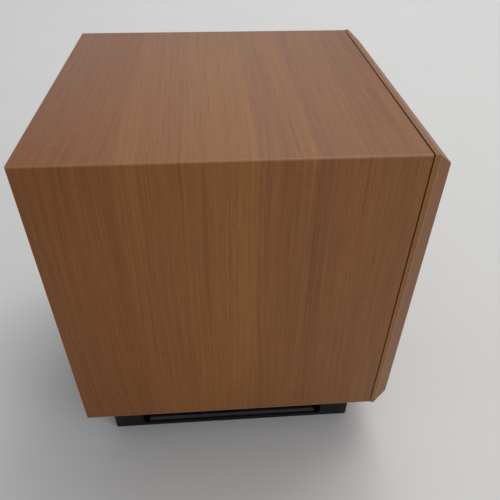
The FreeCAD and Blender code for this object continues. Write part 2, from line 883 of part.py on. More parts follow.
def terminal_base():
    """Radius and level of the terminal strip on the basket's rear spoke."""
    level = spider_level - terminal_drop
    rise = spider_level + spider_ledge_thickness - flange_thickness
    slope = (basket_outer_radius - spider_land_radius - basket_wall) / rise
    radius = basket_outer_radius - (level - flange_thickness) * slope
    return radius, level


def driver_terminals():
    """Fibre strip with two solder tags on the basket's rear spoke."""
    radius, level = terminal_base()
    inner_face = radius + terminal_gap
    outer_face = inner_face + terminal_thickness
    tag_low = level + tag_rise
    low = tag_low - terminal_below_tags
    w = terminal_width / 2
    solid = block(-w, w, inner_face, outer_face, low, low + terminal_height)
    for x in spread(2, tag_spacing):
        solid = solid.fuse(block(x - tag_width / 2, x + tag_width / 2, outer_face, outer_face + tag_length,
                                 tag_low, tag_low + tag_thickness))
    w = terminal_foot_width / 2
    foot_low = tag_low - tag_thickness
    foot = block(-w, w, radius - terminal_foot_reach, inner_face, foot_low, foot_low + terminal_foot_height)
    solid = in_driver(solid.fuse(foot).removeSplitter())
    return solid.cut(driver_frame())


def smooth_path(points, bend):
    """Straight runs joined by tangent arcs, each of the given radius or as large as its runs allow."""
    edges = []
    start = points[0]
    for index in range(1, len(points) - 1):
        corner = points[index]
        before = points[index - 1] - corner
        after = points[index + 1] - corner
        shorter = min(before.Length, after.Length)
        before.normalize()
        after.normalize()
        half = before.getAngle(after) / 2
        radius = min(bend, arc_share * shorter * math.tan(half))
        reach = radius / math.tan(half)
        first = corner + before * reach
        last = corner + after * reach
        inward = (before + after).normalize()
        middle = corner + inward * (radius / math.sin(half) - radius)
        edges.append(Part.LineSegment(start, first).toShape())
        edges.append(Part.Arc(first, middle, last).toShape())
        start = last
    edges.append(Part.LineSegment(start, points[-1]).toShape())
    return Part.Wire(edges)


def tube(points, bend, radius):
    """Round tube along a smooth path."""
    path = smooth_path(points, bend)
    direction = (points[1] - points[0]).normalize()
    circle = Part.Wire(Part.makeCircle(radius, points[0], direction))
    return path.makePipeShell([circle], True, False)


def tinsel_leads():
    """Two braided leads from the terminal strip to the back of the cone."""
    radius, level = terminal_base()
    leads = []
    for x in spread(2, tinsel_spacing):
        landing_level = cone_height_at(math.hypot(tinsel_landing, x)) + tinsel_landing_stand
        start = Vector(x, radius - tinsel_run_in, level - tinsel_drop)
        knee = Vector(x, start.y - tinsel_run, start.z - tinsel_fall)
        points = [start, knee, Vector(x, tinsel_landing, landing_level)]
        leads.append(tube(points, tinsel_bend, tinsel_radius))
    return in_driver(Part.makeCompound(leads))


# ---- amplifier -------------------------------------------------------------
def plate_hole(radius, x, level, depth=plate_thickness):
    """Round cutter through the plate."""
    return on_plate(Part.makeCylinder(radius, depth, Vector(0, 0, -depth)), x, level)


def plate_window(width, height, x, level):
    """Rectangular cutter through the plate."""
    return on_plate(block(-width / 2, width / 2, -height / 2, height / 2, -plate_thickness, 0), x, level)


def bushing_radius():
    return shaft_radius + running_clearance + bushing_wall


def inlet_body_size():
    return inlet_width + 2 * inlet_wall, inlet_height + 2 * inlet_wall


def rocker_body_size():
    """Width and height of the rocker switch body."""
    width = rocker_width + 2 * (moving_gap + rocker_wall)
    height = 2 * (rocker_half_length + rocker_window_margin + rocker_wall)
    return width, height


def switch_body_size():
    return switch_width - switch_body_step_x, switch_height - switch_body_step_y


def amp_plate():
    w, h = plate_width / 2, plate_height / 2
    solid = soft_block(-w, w, -h, h, -plate_thickness, 0, plate_corner_radius, 2)
    solid = on_plate(solid, 0, 0)
    for x, level in amp_screw_places():
        solid = solid.cut(plate_hole(screw_radius + free_hole_clearance, x, level))
    for x in (level_knob_x, crossover_knob_x):
        solid = solid.cut(plate_hole(bushing_radius() + panel_clearance, x, control_level))
    for x in socket_places():
        solid = solid.cut(plate_hole(socket_shell_radius + panel_clearance, x, socket_level))
    solid = solid.cut(plate_hole(status_lens_radius + panel_clearance, status_lens_x, control_level))
    solid = solid.cut(plate_hole(fuse_cap_radius + moving_gap + fuse_wall + panel_clearance,
                                 fuse_x, power_level))
    solid = solid.cut(plate_hole(clamp_bolt_radius + panel_clearance, 0, toroid_level))
    slack = 2 * panel_clearance
    for x in (phase_switch_x, auto_switch_x):
        w, h = switch_body_size()
        solid = solid.cut(plate_window(w + slack, h + slack, x, control_level))
    w, h = inlet_body_size()
    solid = solid.cut(plate_window(w + slack, h + slack, inlet_x, power_level))
    w, h = rocker_body_size()
    return solid.cut(plate_window(w + slack, h + slack, rocker_x, power_level))


def amp_gasket():
    """Foam seal between the plate and the back board."""
    w, h = plate_width / 2, plate_height / 2
    back = -plate_thickness - amp_gasket_thickness
    solid = soft_block(-w, w, -h, h, back, -plate_thickness, plate_corner_radius, 2)
    w, h = w - plate_overlap, h - plate_overlap
    solid = on_plate(solid.cut(block(-w, w, -h, h, back, -plate_thickness)), 0, 0)
    depth = plate_thickness + amp_gasket_thickness
    for x, level in amp_screw_places():
        solid = solid.cut(plate_hole(screw_radius + free_hole_clearance, x, level, depth))
    return solid


def amp_screws():
    solid = screw_towards_front(plate_thickness + amp_gasket_thickness + amp_screw_bite)
    return Part.makeCompound([moved(solid, x, y_plate, z_middle + level) for x, level in amp_screw_places()])


def heat_sink():
    """Extruded sink: a base with upright fins."""
    w, h = sink_width / 2, sink_height / 2
    solid = block(-w, w, -h, h, 0, sink_base)
    pitch = (sink_width - sink_fin_thickness) / (sink_fin_count - 1)
    t = sink_fin_thickness / 2
    for x in spread(sink_fin_count, pitch):
        solid = solid.fuse(block(x - t, x + t, -h, h, sink_base, sink_stand))
    solid = on_plate(solid.removeSplitter(), 0, sink_level)
    bolt = Part.makeCylinder(clamp_bolt_radius + panel_clearance, sink_stand)
    head = Part.makeCylinder(clamp_head_radius + clamp_head_room, sink_stand - sink_base,
                             Vector(0, 0, sink_base))
    return solid.cut(on_plate(bolt, 0, toroid_level)).cut(on_plate(head, 0, toroid_level))


def circuit_board():
    w, h = board_width / 2, board_height / 2
    solid = block(-w, w, -h, h, -pcb_depth - board_thickness, -pcb_depth)
    solid = on_plate(solid, 0, board_level)
    deep = pcb_depth + board_thickness
    w, h = inlet_body_size()
    cutters = [(inlet_x, w, h), (rocker_x, *rocker_body_size())]
    fuse = 2 * (fuse_cap_radius + moving_gap + fuse_wall)
    cutters.append((fuse_x, fuse, fuse))
    for x, w, h in cutters:
        half_w = w / 2 + board_cut_gap
        half_h = h / 2 + board_cut_gap
        cutter = block(-half_w, half_w, -half_h, half_h, -deep, 0)
        solid = solid.cut(on_plate(cutter, x, power_level))
    return solid


def output_transistors():
    """Power transistors clamped to the back of the plate, behind the heat sink."""
    w, h = transistor_width / 2, transistor_height / 2
    low = -plate_thickness - transistor_thickness
    level = sink_level - sink_height / 2 + h - transistor_drop
    lead_w = transistor_lead_width / 2
    lead_low = low + transistor_lead_depth
    pieces = []
    for x in spread(transistor_count, transistor_pitch):
        body = block(-w, w, -h, h, low, -plate_thickness)
        for lead in spread(transistor_lead_count, transistor_lead_pitch):
            body = body.fuse(block(lead - lead_w, lead + lead_w, h, h + transistor_lead_length,
                                   lead_low, lead_low + transistor_lead_thickness))
        pieces.append(on_plate(body, x, level))
    return Part.makeCompound(pieces)


def filter_capacitors():
    can = Part.makeCylinder(capacitor_radius, capacitor_length)
    can = can.makeFillet(capacitor_round, [edge for edge in can.Edges if len(edge.Vertexes) == 1])
    can.translate(Vector(0, 0, -pcb_depth - board_thickness - capacitor_length))
    level = board_level - capacitor_drop
    return Part.makeCompound([on_plate(can, x, level) for x in spread(capacitor_count, capacitor_pitch)])


def toroid_face():
    """Depth of the transformer's face behind the plate's outer face."""
    return plate_thickness + transistor_thickness + toroid_gap


def power_transformer():
    solid = ring(toroid_radius, toroid_bore_radius, -toroid_face() - toroid_height, -toroid_face())
    round_edges = [edge for edge in solid.Edges if len(edge.Vertexes) == 1]
    return on_plate(solid.makeFillet(toroid_round, round_edges), 0, toroid_level)


def transformer_clamp():
    """Dished washer, spacer and bolt that hold the transformer to the plate."""
    far = -toroid_face() - toroid_height
    washer = Part.makeCylinder(clamp_radius, clamp_thickness, Vector(0, 0, far - clamp_thickness))
    nut = Part.makeCylinder(clamp_head_radius, clamp_nut_height,
                            Vector(0, 0, far - clamp_thickness - clamp_nut_height))
    bolt = Part.makeCylinder(clamp_bolt_radius, sink_base - far + clamp_thickness,
                             Vector(0, 0, far - clamp_thickness))
    head = Part.makeCylinder(clamp_head_radius, clamp_head_height, Vector(0, 0, sink_base))
    near = Part.makeCylinder(clamp_radius, clamp_thickness, Vector(0, 0, -toroid_face()))
    spacer = Part.makeCylinder(clamp_spacer_radius, toroid_face() - plate_thickness,
                               Vector(0, 0, -toroid_face()))
    solid = washer.multiFuse([nut, bolt, head, near, spacer]).removeSplitter()
    return on_plate(solid, 0, toroid_level)


def knob(x):
    """Knob with a skirt, a fluted grip and a bevelled cap with a pointer groove, on its shaft."""
    low = knob_gap
    high = knob_gap + knob_height
    cap_low = high - knob_cap_height
    cap_radius = knob_grip_radius - knob_flute_radius - knob_cap_step
    cap_top_radius = cap_radius - knob_cap_bevel
    grip = Part.makeCylinder(knob_grip_radius, cap_low - low, Vector(0, 0, low))
    flute = Part.makeCylinder(knob_flute_radius, cap_low - low, Vector(knob_grip_radius, 0, low))
    grip = grip.cut(around(flute, knob_flute_count))
    skirt = Part.makeCylinder(knob_radius, knob_skirt_height, Vector(0, 0, low))
    cap = Part.makeCone(cap_radius, cap_top_radius, knob_cap_height, Vector(0, 0, cap_low))
    half_groove = knob_groove_width / 2
    groove = block(-half_groove, half_groove, knob_cap_step - cap_top_radius, -knob_cap_step,
                   high - knob_groove_depth, high)
    shaft = Part.makeCylinder(shaft_radius, cap_low + pcb_depth - shaft_end_gap,
                              Vector(0, 0, shaft_end_gap - pcb_depth))
    return on_plate(skirt.fuse([grip, cap, shaft]).cut(groove).removeSplitter(), x, control_level)


def control_pots():
    """Potentiometer bodies with the bushings that carry the knob shafts."""
    s = pot_size / 2
    pieces = []
    for x in (level_knob_x, crossover_knob_x):
        body = block(-s, s, -s, s, -pcb_depth, -plate_thickness)
        body = body.fuse(Part.makeCylinder(bushing_radius(), plate_thickness, Vector(0, 0, -plate_thickness)))
        bore = Part.makeCylinder(shaft_radius + running_clearance, pcb_depth, Vector(0, 0, -pcb_depth))
        pieces.append(on_plate(body.cut(bore), x, control_level))
    return Part.makeCompound(pieces)


def slide_switches():
    """Two slide switch bodies with slotted bezels."""
    w, h = switch_body_size()
    slot_w = lever_size + lever_travel + 2 * moving_gap
    slot_h = lever_size + 2 * moving_gap
    pieces = []
    for x in (phase_switch_x, auto_switch_x):
        bezel = soft_block(-switch_width / 2, switch_width / 2, -switch_height / 2, switch_height / 2,
                           0, switch_bezel, switch_corner_radius, 2)
        body = bezel.fuse(block(-w / 2, w / 2, -h / 2, h / 2, switch_board_gap - pcb_depth, 0))
        cavity = block(-slot_w / 2, slot_w / 2, -slot_h / 2, slot_h / 2, switch_floor - pcb_depth, switch_bezel)
        pieces.append(on_plate(body.cut(cavity), x, control_level))
    return Part.makeCompound(pieces)


def lever(x):
    """Ribbed switch lever, resting at the left end of its slot."""
    s = lever_size / 2
    top = switch_bezel + lever_stand
    body = block(-s, s, -s, s, switch_floor + moving_gap - pcb_depth, top)
    half_groove = lever_groove_width / 2
    for groove in spread(3, lever_groove_pitch):
        body = body.cut(block(groove - half_groove, groove + half_groove, -s, s, top - lever_groove_depth, top))
    return on_plate(body, x - lever_travel / 2, control_level)


def status_lens():
    behind = plate_thickness + status_lens_tail
    body = Part.makeCylinder(status_lens_radius, behind, Vector(0, 0, -behind))
    dome = Part.makeSphere(status_lens_radius, Vector(0, 0, 0), Vector(0, 0, 1), 0, 90, 360)
    return on_plate(body.fuse(dome).removeSplitter(), status_lens_x, control_level)


def line_sockets():
    """Metal shells and panel nuts of the line inputs."""
    pieces = []
    for x in socket_places():
        shell = Part.makeCylinder(socket_shell_radius, socket_shell_length + plate_thickness,
                                  Vector(0, 0, -plate_thickness))
        nut = prism([Vector(socket_nut_radius * math.cos(math.radians(60 * i)),
                            socket_nut_radius * math.sin(math.radians(60 * i)), 0) for i in range(6)],
                    Vector(0, 0, socket_nut_height))
        body = shell.fuse(nut).removeSplitter()
        bore = Part.makeCylinder(socket_shell_radius - socket_shell_wall, socket_shell_length + plate_thickness,
                                 Vector(0, 0, -plate_thickness))
        pieces.append(on_plate(body.cut(bore), x, socket_level))
    return Part.makeCompound(pieces)


def socket_inserts():
    """Insulators of the line inputs with the hole for the centre pin."""
    pieces = []
    bore = socket_shell_radius - socket_shell_wall
    for x in socket_places():
        length = socket_shell_length + plate_thickness
        body = Part.makeCylinder(socket_insert_radius, length - socket_insert_setback,
                                 Vector(0, 0, -plate_thickness))
        base = Part.makeCylinder(bore, plate_thickness, Vector(0, 0, -plate_thickness))
        w, h = socket_box_width / 2, socket_box_height / 2
        box = block(-w, w, -h, h, -pcb_depth, -plate_thickness)
        hole = Part.makeCylinder(socket_pin_hole_radius, length - socket_floor,
                                 Vector(0, 0, socket_floor - plate_thickness))
        pieces.append(on_plate(body.multiFuse([base, box]).removeSplitter().cut(hole), x, socket_level))
    return Part.makeCompound(pieces)


def inlet_outline(width, height, cut, z0, z1):
    """Rectangle with two corners cut off on its upper side, extruded out of the plate."""
    w, h = width / 2, height / 2
    points = [Vector(-w, h, z0), Vector(w, h, z0), Vector(w, -h + cut, z0), Vector(w - cut, -h, z0),
              Vector(-w + cut, -h, z0), Vector(-w, -h + cut, z0)]
    return prism(points, Vector(0, 0, z1 - z0))


def mains_inlet():
    """Three-pole appliance inlet with its flange."""
    w, h = inlet_body_size()
    floor = inlet_flange_height - inlet_depth
    body = block(-w / 2, w / 2, -h / 2, h / 2, floor - inlet_wall, 0)
    lip = inlet_flange_lip
    flange = soft_block(-w / 2 - lip, w / 2 + lip, -h / 2 - lip, h / 2 + lip, 0, inlet_flange_height,
                        inlet_flange_round, 2)
    body = body.fuse(flange)
    cavity = inlet_outline(inlet_width, inlet_height, inlet_corner_cut, floor, inlet_flange_height)
    return on_plate(body.cut(cavity), inlet_x, power_level)


def inlet_pins():
    """Live, neutral and earth blades."""
    floor = inlet_flange_height - inlet_depth
    w, h = inlet_pin_width / 2, inlet_pin_height / 2
    pieces = []
    places = [(-inlet_pin_pitch, -inlet_pin_drop), (inlet_pin_pitch, -inlet_pin_drop), (0, inlet_earth_rise)]
    for x, level in places:
        blade = block(-w, w, -h, h, floor, floor + inlet_pin_length)
        pieces.append(on_plate(blade, inlet_x + x, power_level + level))
    return Part.makeCompound(pieces)


def fuse_holder():
    """Round holder that the fuse cap turns in."""
    bore = fuse_cap_radius + moving_gap
    depth = fuse_cap_depth + moving_gap
    body = Part.makeCylinder(bore + fuse_wall, depth + fuse_base, Vector(0, 0, -depth - fuse_base))
    body = body.fuse(Part.makeCylinder(fuse_flange_radius, fuse_flange_height))
    body = body.cut(Part.makeCylinder(bore, depth + fuse_flange_height, Vector(0, 0, -depth)))
    return on_plate(body.removeSplitter(), fuse_x, power_level)


def fuse_cap():
    """Quarter-turn cap with a driver slot and two side flats."""
    body = Part.makeCylinder(fuse_cap_radius, fuse_cap_depth + fuse_cap_stand, Vector(0, 0, -fuse_cap_depth))
    rim = [edge for edge in body.Edges if len(edge.Vertexes) == 1 and edge.CenterOfMass.z > 0]
    body = body.makeFillet(fuse_cap_round, rim)
    w = fuse_slot_width / 2
    slot = block(-w, w, -fuse_cap_radius, fuse_cap_radius, fuse_cap_stand - fuse_slot_depth, fuse_cap_stand)
    return on_plate(body.cut(slot), fuse_x, power_level)


def rocker_frame():
    """Bezel and body of the power switch."""
    w, h = rocker_body_size()
    body = block(-w / 2, w / 2, -h / 2, h / 2, -rocker_body_depth, 0)
    lip_w = w / 2 + rocker_bezel
    lip_h = h / 2 + rocker_bezel
    body = body.fuse(soft_block(-lip_w, lip_w, -lip_h, lip_h, 0, rocker_bezel_height, rocker_bezel_round, 2))
    cw = w / 2 - rocker_wall
    ch = h / 2 - rocker_wall
    body = body.cut(block(-cw, cw, -ch, ch, rocker_wall - rocker_body_depth, rocker_bezel_height))
    return on_plate(body, rocker_x, power_level)


def power_rocker():
    """Two-lobed rocker, resting with its upper end pressed in."""
    half = rocker_half_length
    w = rocker_width / 2
    top = rocker_pivot_depth + rocker_bezel_height
    ends = top + rocker_end_rise
    heel, low = rocker_heel_half, -rocker_heel_depth
    points = [Vector(-w, -half, rocker_side_low), Vector(-w, -half, ends), Vector(-w, 0, top - rocker_dip),
              Vector(-w, half, ends), Vector(-w, half, rocker_side_low), Vector(-w, heel, low),
              Vector(-w, -heel, low)]
    body = prism(points, Vector(2 * w, 0, 0))
    body.rotate(Vector(0, 0, 0), Vector(1, 0, 0), -rocker_tilt)
    body.translate(Vector(0, 0, -rocker_pivot_depth))
    return on_plate(body, rocker_x, power_level)


def driver_lead():
    """Twin lead clipped between the circuit board and the driver's terminals."""
    radius, level = terminal_base()
    tag_end = radius + terminal_gap + terminal_thickness + tag_length
    end = Vector(0, y_driver + tag_end, z_flange + level + tag_rise + tag_thickness / 2)
    start = Vector(lead_exit_x, y_plate - pcb_depth - board_thickness,
                   z_middle + board_level - board_height / 2 + lead_board_inset)
    points = [start, Vector(start.x, start.y - lead_run, start.z),
              Vector(lead_knee_x, start.y - lead_knee_run, end.z + lead_knee_rise),
              Vector(0, end.y + lead_run_in, end.z), end]
    return tube(points, lead_bend, lead_radius)


parts = {
    "top_board": lambda: wrap_board(2),
    "bottom_board": bottom_board,
    "left_board": lambda: wrap_board(3),
    "right_board": lambda: wrap_board(1),
    "back_board": back_board,
    "baffle_board": baffle_board,
    "front_panel": front_panel,
    "front_panel_screws": front_panel_screws,
    "cross_brace": cross_brace,
    "corner_battens": corner_battens,
    "damping_wadding": damping_wadding,
    "plinth_front": lambda: plinth_side(0),
    "plinth_right": lambda: plinth_side(1),
    "plinth_rear": lambda: plinth_side(2),
    "plinth_left": lambda: plinth_side(3),
    "slot_beads": slot_beads,
    "plinth_blocks": plinth_blocks,
    "plinth_screws": plinth_screws,
    "rubber_feet": rubber_feet,
    "driver_frame": driver_frame,
    "driver_gasket": driver_gasket,
    "driver_screws": driver_screws,
    "surround": surround,
    "surround_seat": surround_seat,
    "cone": cone,
    "dust_cap": dust_cap,
    "coil_former": coil_former,
    "voice_coil": voice_coil,
    "spider": spider,
    "top_plate": top_plate,
    "magnet": magnet,
    "back_plate": back_plate,
    "driver_terminals": driver_terminals,
    "tinsel_leads": tinsel_leads,
    "amp_plate": amp_plate,
    "amp_gasket": amp_gasket,
    "amp_screws": amp_screws,
    "heat_sink": heat_sink,
    "circuit_board": circuit_board,
    "output_transistors": output_transistors,
    "filter_capacitors": filter_capacitors,
    "power_transformer": power_transformer,
    "transformer_clamp": transformer_clamp,
    "level_knob": lambda: knob(level_knob_x),
    "crossover_knob": lambda: knob(crossover_knob_x),
    "control_pots": control_pots,
    "slide_switches": slide_switches,
    "phase_lever": lambda: lever(phase_switch_x),
    "auto_lever": lambda: lever(auto_switch_x),
    "status_lens": status_lens,
    "line_sockets": line_sockets,
    "socket_inserts": socket_inserts,
    "mains_inlet": mains_inlet,
    "inlet_pins": inlet_pins,
    "fuse_holder": fuse_holder,
    "fuse_cap": fuse_cap,
    "rocker_frame": rocker_frame,
    "power_rocker": power_rocker,
    "driver_lead": driver_lead,
}

os.makedirs("parts", exist_ok=True)
for name, make in parts.items():
    shape = make()
    shape.exportStep(os.path.join("parts", name + ".step"))
    print(f"{name}: {len(shape.Solids)} solid(s), {shape.Volume / 1000:.1f} cm3, valid {shape.isValid()}")
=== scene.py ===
import bmesh
import bpy
import math
from mathutils import Matrix, Vector, noise


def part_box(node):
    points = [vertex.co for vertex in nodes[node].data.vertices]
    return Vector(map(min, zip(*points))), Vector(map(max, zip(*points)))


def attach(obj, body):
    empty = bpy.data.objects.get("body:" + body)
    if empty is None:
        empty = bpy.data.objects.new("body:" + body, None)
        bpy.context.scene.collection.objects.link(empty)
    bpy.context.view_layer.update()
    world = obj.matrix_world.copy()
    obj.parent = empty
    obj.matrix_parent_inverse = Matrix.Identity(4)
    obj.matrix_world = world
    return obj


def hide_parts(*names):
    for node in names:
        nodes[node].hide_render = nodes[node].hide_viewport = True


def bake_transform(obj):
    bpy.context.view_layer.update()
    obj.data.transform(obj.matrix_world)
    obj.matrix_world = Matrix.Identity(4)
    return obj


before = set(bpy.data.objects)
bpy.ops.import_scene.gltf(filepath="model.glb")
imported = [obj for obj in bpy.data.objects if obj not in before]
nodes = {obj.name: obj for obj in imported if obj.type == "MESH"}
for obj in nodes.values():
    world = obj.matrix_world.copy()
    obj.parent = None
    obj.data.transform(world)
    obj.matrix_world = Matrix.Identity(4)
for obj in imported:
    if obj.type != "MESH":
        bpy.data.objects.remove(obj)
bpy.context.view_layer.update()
mm = 0.001


def nodeBox(name):
    low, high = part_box(name)
    return Vector(low), Vector(high)


def middleOf(name):
    low, high = nodeBox(name)
    return (low + high) / 2


cabinetLow = nodeBox("left_board")[0]
cabinetHigh = nodeBox("right_board")[1]
driverAxis = middleOf("driver_frame")
driverAxis.z = nodeBox("driver_frame")[0].z     # on the lower face of the flange
plateMiddle = middleOf("amp_plate")
plateMiddle.y = nodeBox("amp_plate")[1].y       # on the plate's outer face


# camera, lights and floor
cameraSetup = {
    "lens": 36.94,
    "turn": (50.85, -0.54, -94.22),             # degrees
    "fromSide": -0.338,                         # out from the left side
    "fromMiddle": 0.008,
    "fromTop": 0.190,
    "nearest": 0.02,
}


def addCamera():
    data = bpy.data.cameras.new("camera")
    data.lens = cameraSetup["lens"]
    data.clip_start = cameraSetup["nearest"]
    camera = bpy.data.objects.new("camera", data)
    camera.location = (cabinetLow.x + cameraSetup["fromSide"], cameraSetup["fromMiddle"],
                       cabinetHigh.z + cameraSetup["fromTop"])
    camera.rotation_euler = [math.radians(angle) for angle in cameraSetup["turn"]]
    bpy.context.scene.collection.objects.link(camera)
    bpy.context.scene.camera = camera


lightSetup = {
    "key": {"at": (2.0, -1.5, 4.5), "size": 3.2, "power": 122, "tint": (1.0, 0.985, 0.96)},
    "fill": {"at": (-2.2, -2.8, 1.5), "size": 1.6, "power": 14, "tint": (1.0, 0.97, 0.93)},
    "near": {"at": (-0.85, -1.15, 0.7), "size": 0.7, "power": 2.3, "tint": (1.0, 0.96, 0.90)},
    "sheen": {"at": (3.0, 0.2, 2.3), "size": 2.4, "power": 8, "tint": (0.97, 0.985, 1.0)},
}
lightTarget = (0, 0, 0.18)
roomLight = {"tint": (0.93, 0.95, 1.0, 1), "strength": 0.41}


def addLights():
    for name, setup in lightSetup.items():
        data = bpy.data.lights.new(name, "AREA")
        data.shape = "SQUARE"
        data.size = setup["size"]
        data.energy = setup["power"]
        data.color = setup["tint"]
        light = bpy.data.objects.new(name, data)
        light.location = setup["at"]
        aim = Vector(lightTarget) - light.location
        light.rotation_euler = aim.to_track_quat("-Z", "Y").to_euler()
        bpy.context.scene.collection.objects.link(light)
    world = bpy.data.worlds.new("studio")
    world.use_nodes = True
    background = world.node_tree.nodes["Background"]
    background.inputs["Color"].default_value = roomLight["tint"]
    background.inputs["Strength"].default_value = roomLight["strength"]
    bpy.context.scene.world = world
    bpy.context.scene.view_settings.view_transform = "Standard"


# small helpers for node trees

# adds a node, sets its options and fills its sockets with numbers or links
def put(tree, kind, values=None, **settings):
    node = tree.nodes.new(kind)
    for name, value in settings.items():
        setattr(node, name, value)
    for socket, value in (values or {}).items():
        if isinstance(value, bpy.types.NodeSocket):
            tree.links.new(value, node.inputs[socket])
        else:
            node.inputs[socket].default_value = value
    return node


def calc(tree, operation, first, second=0.0, clamp=False):
    values = {0: first, 1: second}
    return put(tree, "ShaderNodeMath", values, operation=operation, use_clamp=clamp).outputs[0]


def blendColors(tree, factor, first, second, how="MIX"):
    values = {0: factor, 6: first, 7: second}
    return put(tree, "ShaderNodeMix", values, data_type="RGBA", blend_type=how).outputs[2]


def stretch(tree, vector, scale):
    return put(tree, "ShaderNodeMapping", {"Vector": vector, "Scale": scale}).outputs["Vector"]


def noiseAt(tree, vector, scale, detail=2.0, rough=0.5):
    values = {"Vector": vector, "Scale": scale, "Detail": detail, "Roughness": rough}
    return put(tree, "ShaderNodeTexNoise", values).outputs["Fac"]


def remap(tree, value, low, high, toLow=0.0, toHigh=1.0):
    values = {"Value": value, "From Min": low, "From Max": high, "To Min": toLow, "To Max": toHigh}
    return put(tree, "ShaderNodeMapRange", values).outputs["Result"]


# bands of a sine wave along one axis, a little uneven
def waveAt(tree, vector, direction, scale, setup):
    values = {"Vector": vector, "Scale": scale, "Distortion": setup["wobble"], "Detail": 1.0,
              "Detail Scale": setup["wobbleSize"]}
    wave = put(tree, "ShaderNodeTexWave", values, wave_type="BANDS", bands_direction=direction,
               wave_profile="SIN")
    return wave.outputs["Fac"]


def weigh(tree, first, firstShare, second, secondShare):
    return calc(tree, "ADD", calc(tree, "MULTIPLY", first, firstShare),
                calc(tree, "MULTIPLY", second, secondShare))


def newGroup(name, inputs, outputs):
    group = bpy.data.node_groups.new(name, "ShaderNodeTree")
    for label, kind, start in inputs:
        socket = group.interface.new_socket(
            name=label, in_out="INPUT", socket_type="NodeSocket" + kind)
        if start is not None:
            socket.default_value = start
    for label, kind in outputs:
        group.interface.new_socket(name=label, in_out="OUTPUT", socket_type="NodeSocket" + kind)
    given = group.nodes.new("NodeGroupInput").outputs
    return group, given, group.nodes.new("NodeGroupOutput").inputs


def placeGroup(tree, group, values):
    node = tree.nodes.new("ShaderNodeGroup")
    node.node_tree = group
    for socket, value in values.items():
        if isinstance(value, bpy.types.NodeSocket):
            tree.links.new(value, node.inputs[socket])
        else:
            node.inputs[socket].default_value = value
    return node.outputs


# material with a Principled shader; the fixed values go on its own sockets
def newMaterial(name, **fixed):
    material = bpy.data.materials.new(name)
    material.use_nodes = True
    tree = material.node_tree
    tree.nodes.clear()
    shader = tree.nodes.new("ShaderNodeBsdfPrincipled")
    for socket, value in fixed.items():
        shader.inputs[socket].default_value = value
    output = tree.nodes.new("ShaderNodeOutputMaterial")
    tree.links.new(shader.outputs[0], output.inputs["Surface"])
    place = tree.nodes.new("ShaderNodeTexCoord").outputs["Object"]
    return material, tree, shader, place


def joinColor(tree, shader, share, setup):
    tree.links.new(blendColors(tree, share, setup["dark"], setup["light"]), shader.inputs["Base Color"])


def joinBump(tree, shader, height, distance):
    bump = put(tree, "ShaderNodeBump", {"Height": height, "Distance": distance})
    tree.links.new(bump.outputs["Normal"], shader.inputs["Normal"])


# puts a material on CAD nodes
def dress(material, *names):
    for name in names:
        for materialSlot in nodes[name].material_slots:
            materialSlot.material = material


# shared effects

figureSetup = {
    # noises: how many to a metre across the grain and along it, then detail and roughness
    "drift": (5.0, 1.8, 1.0, 0.5),
    "wide": (120, 2.0, 3.0, 0.55),
    "narrow": (420, 5.0, 3.0, 0.6),
    "fibre": (1500, 24, 2.0, 0.6),
    "patch": (16, 3.0, 2.0, 0.5),
    "pore": (2100, 110, 1.0, 0.5),
    "fleck": (800, 200, 1.0, 0.5),
    "wander": 0.014,                            # how far the lines drift sideways, m
    "leafStep": (3.1, 7.7),                     # jump of the figure from leaf to leaf
    "wideTone": 0.11,
    "narrowTone": 0.29,
    "fibreTone": 0.20,
    "patchTone": 0.10,
    "poreTone": (0.10, 0.045, 0.018, 1),
    "poreAmount": 0.34,
    "fleckTone": (0.62, 0.38, 0.20, 1),
    "fleckAmount": 0.05,
    "roughness": (0.36, 0.43),
    "poreRoughness": 0.15,
    "fibreRelief": 0.4,
    "poreRelief": 0.6,
}


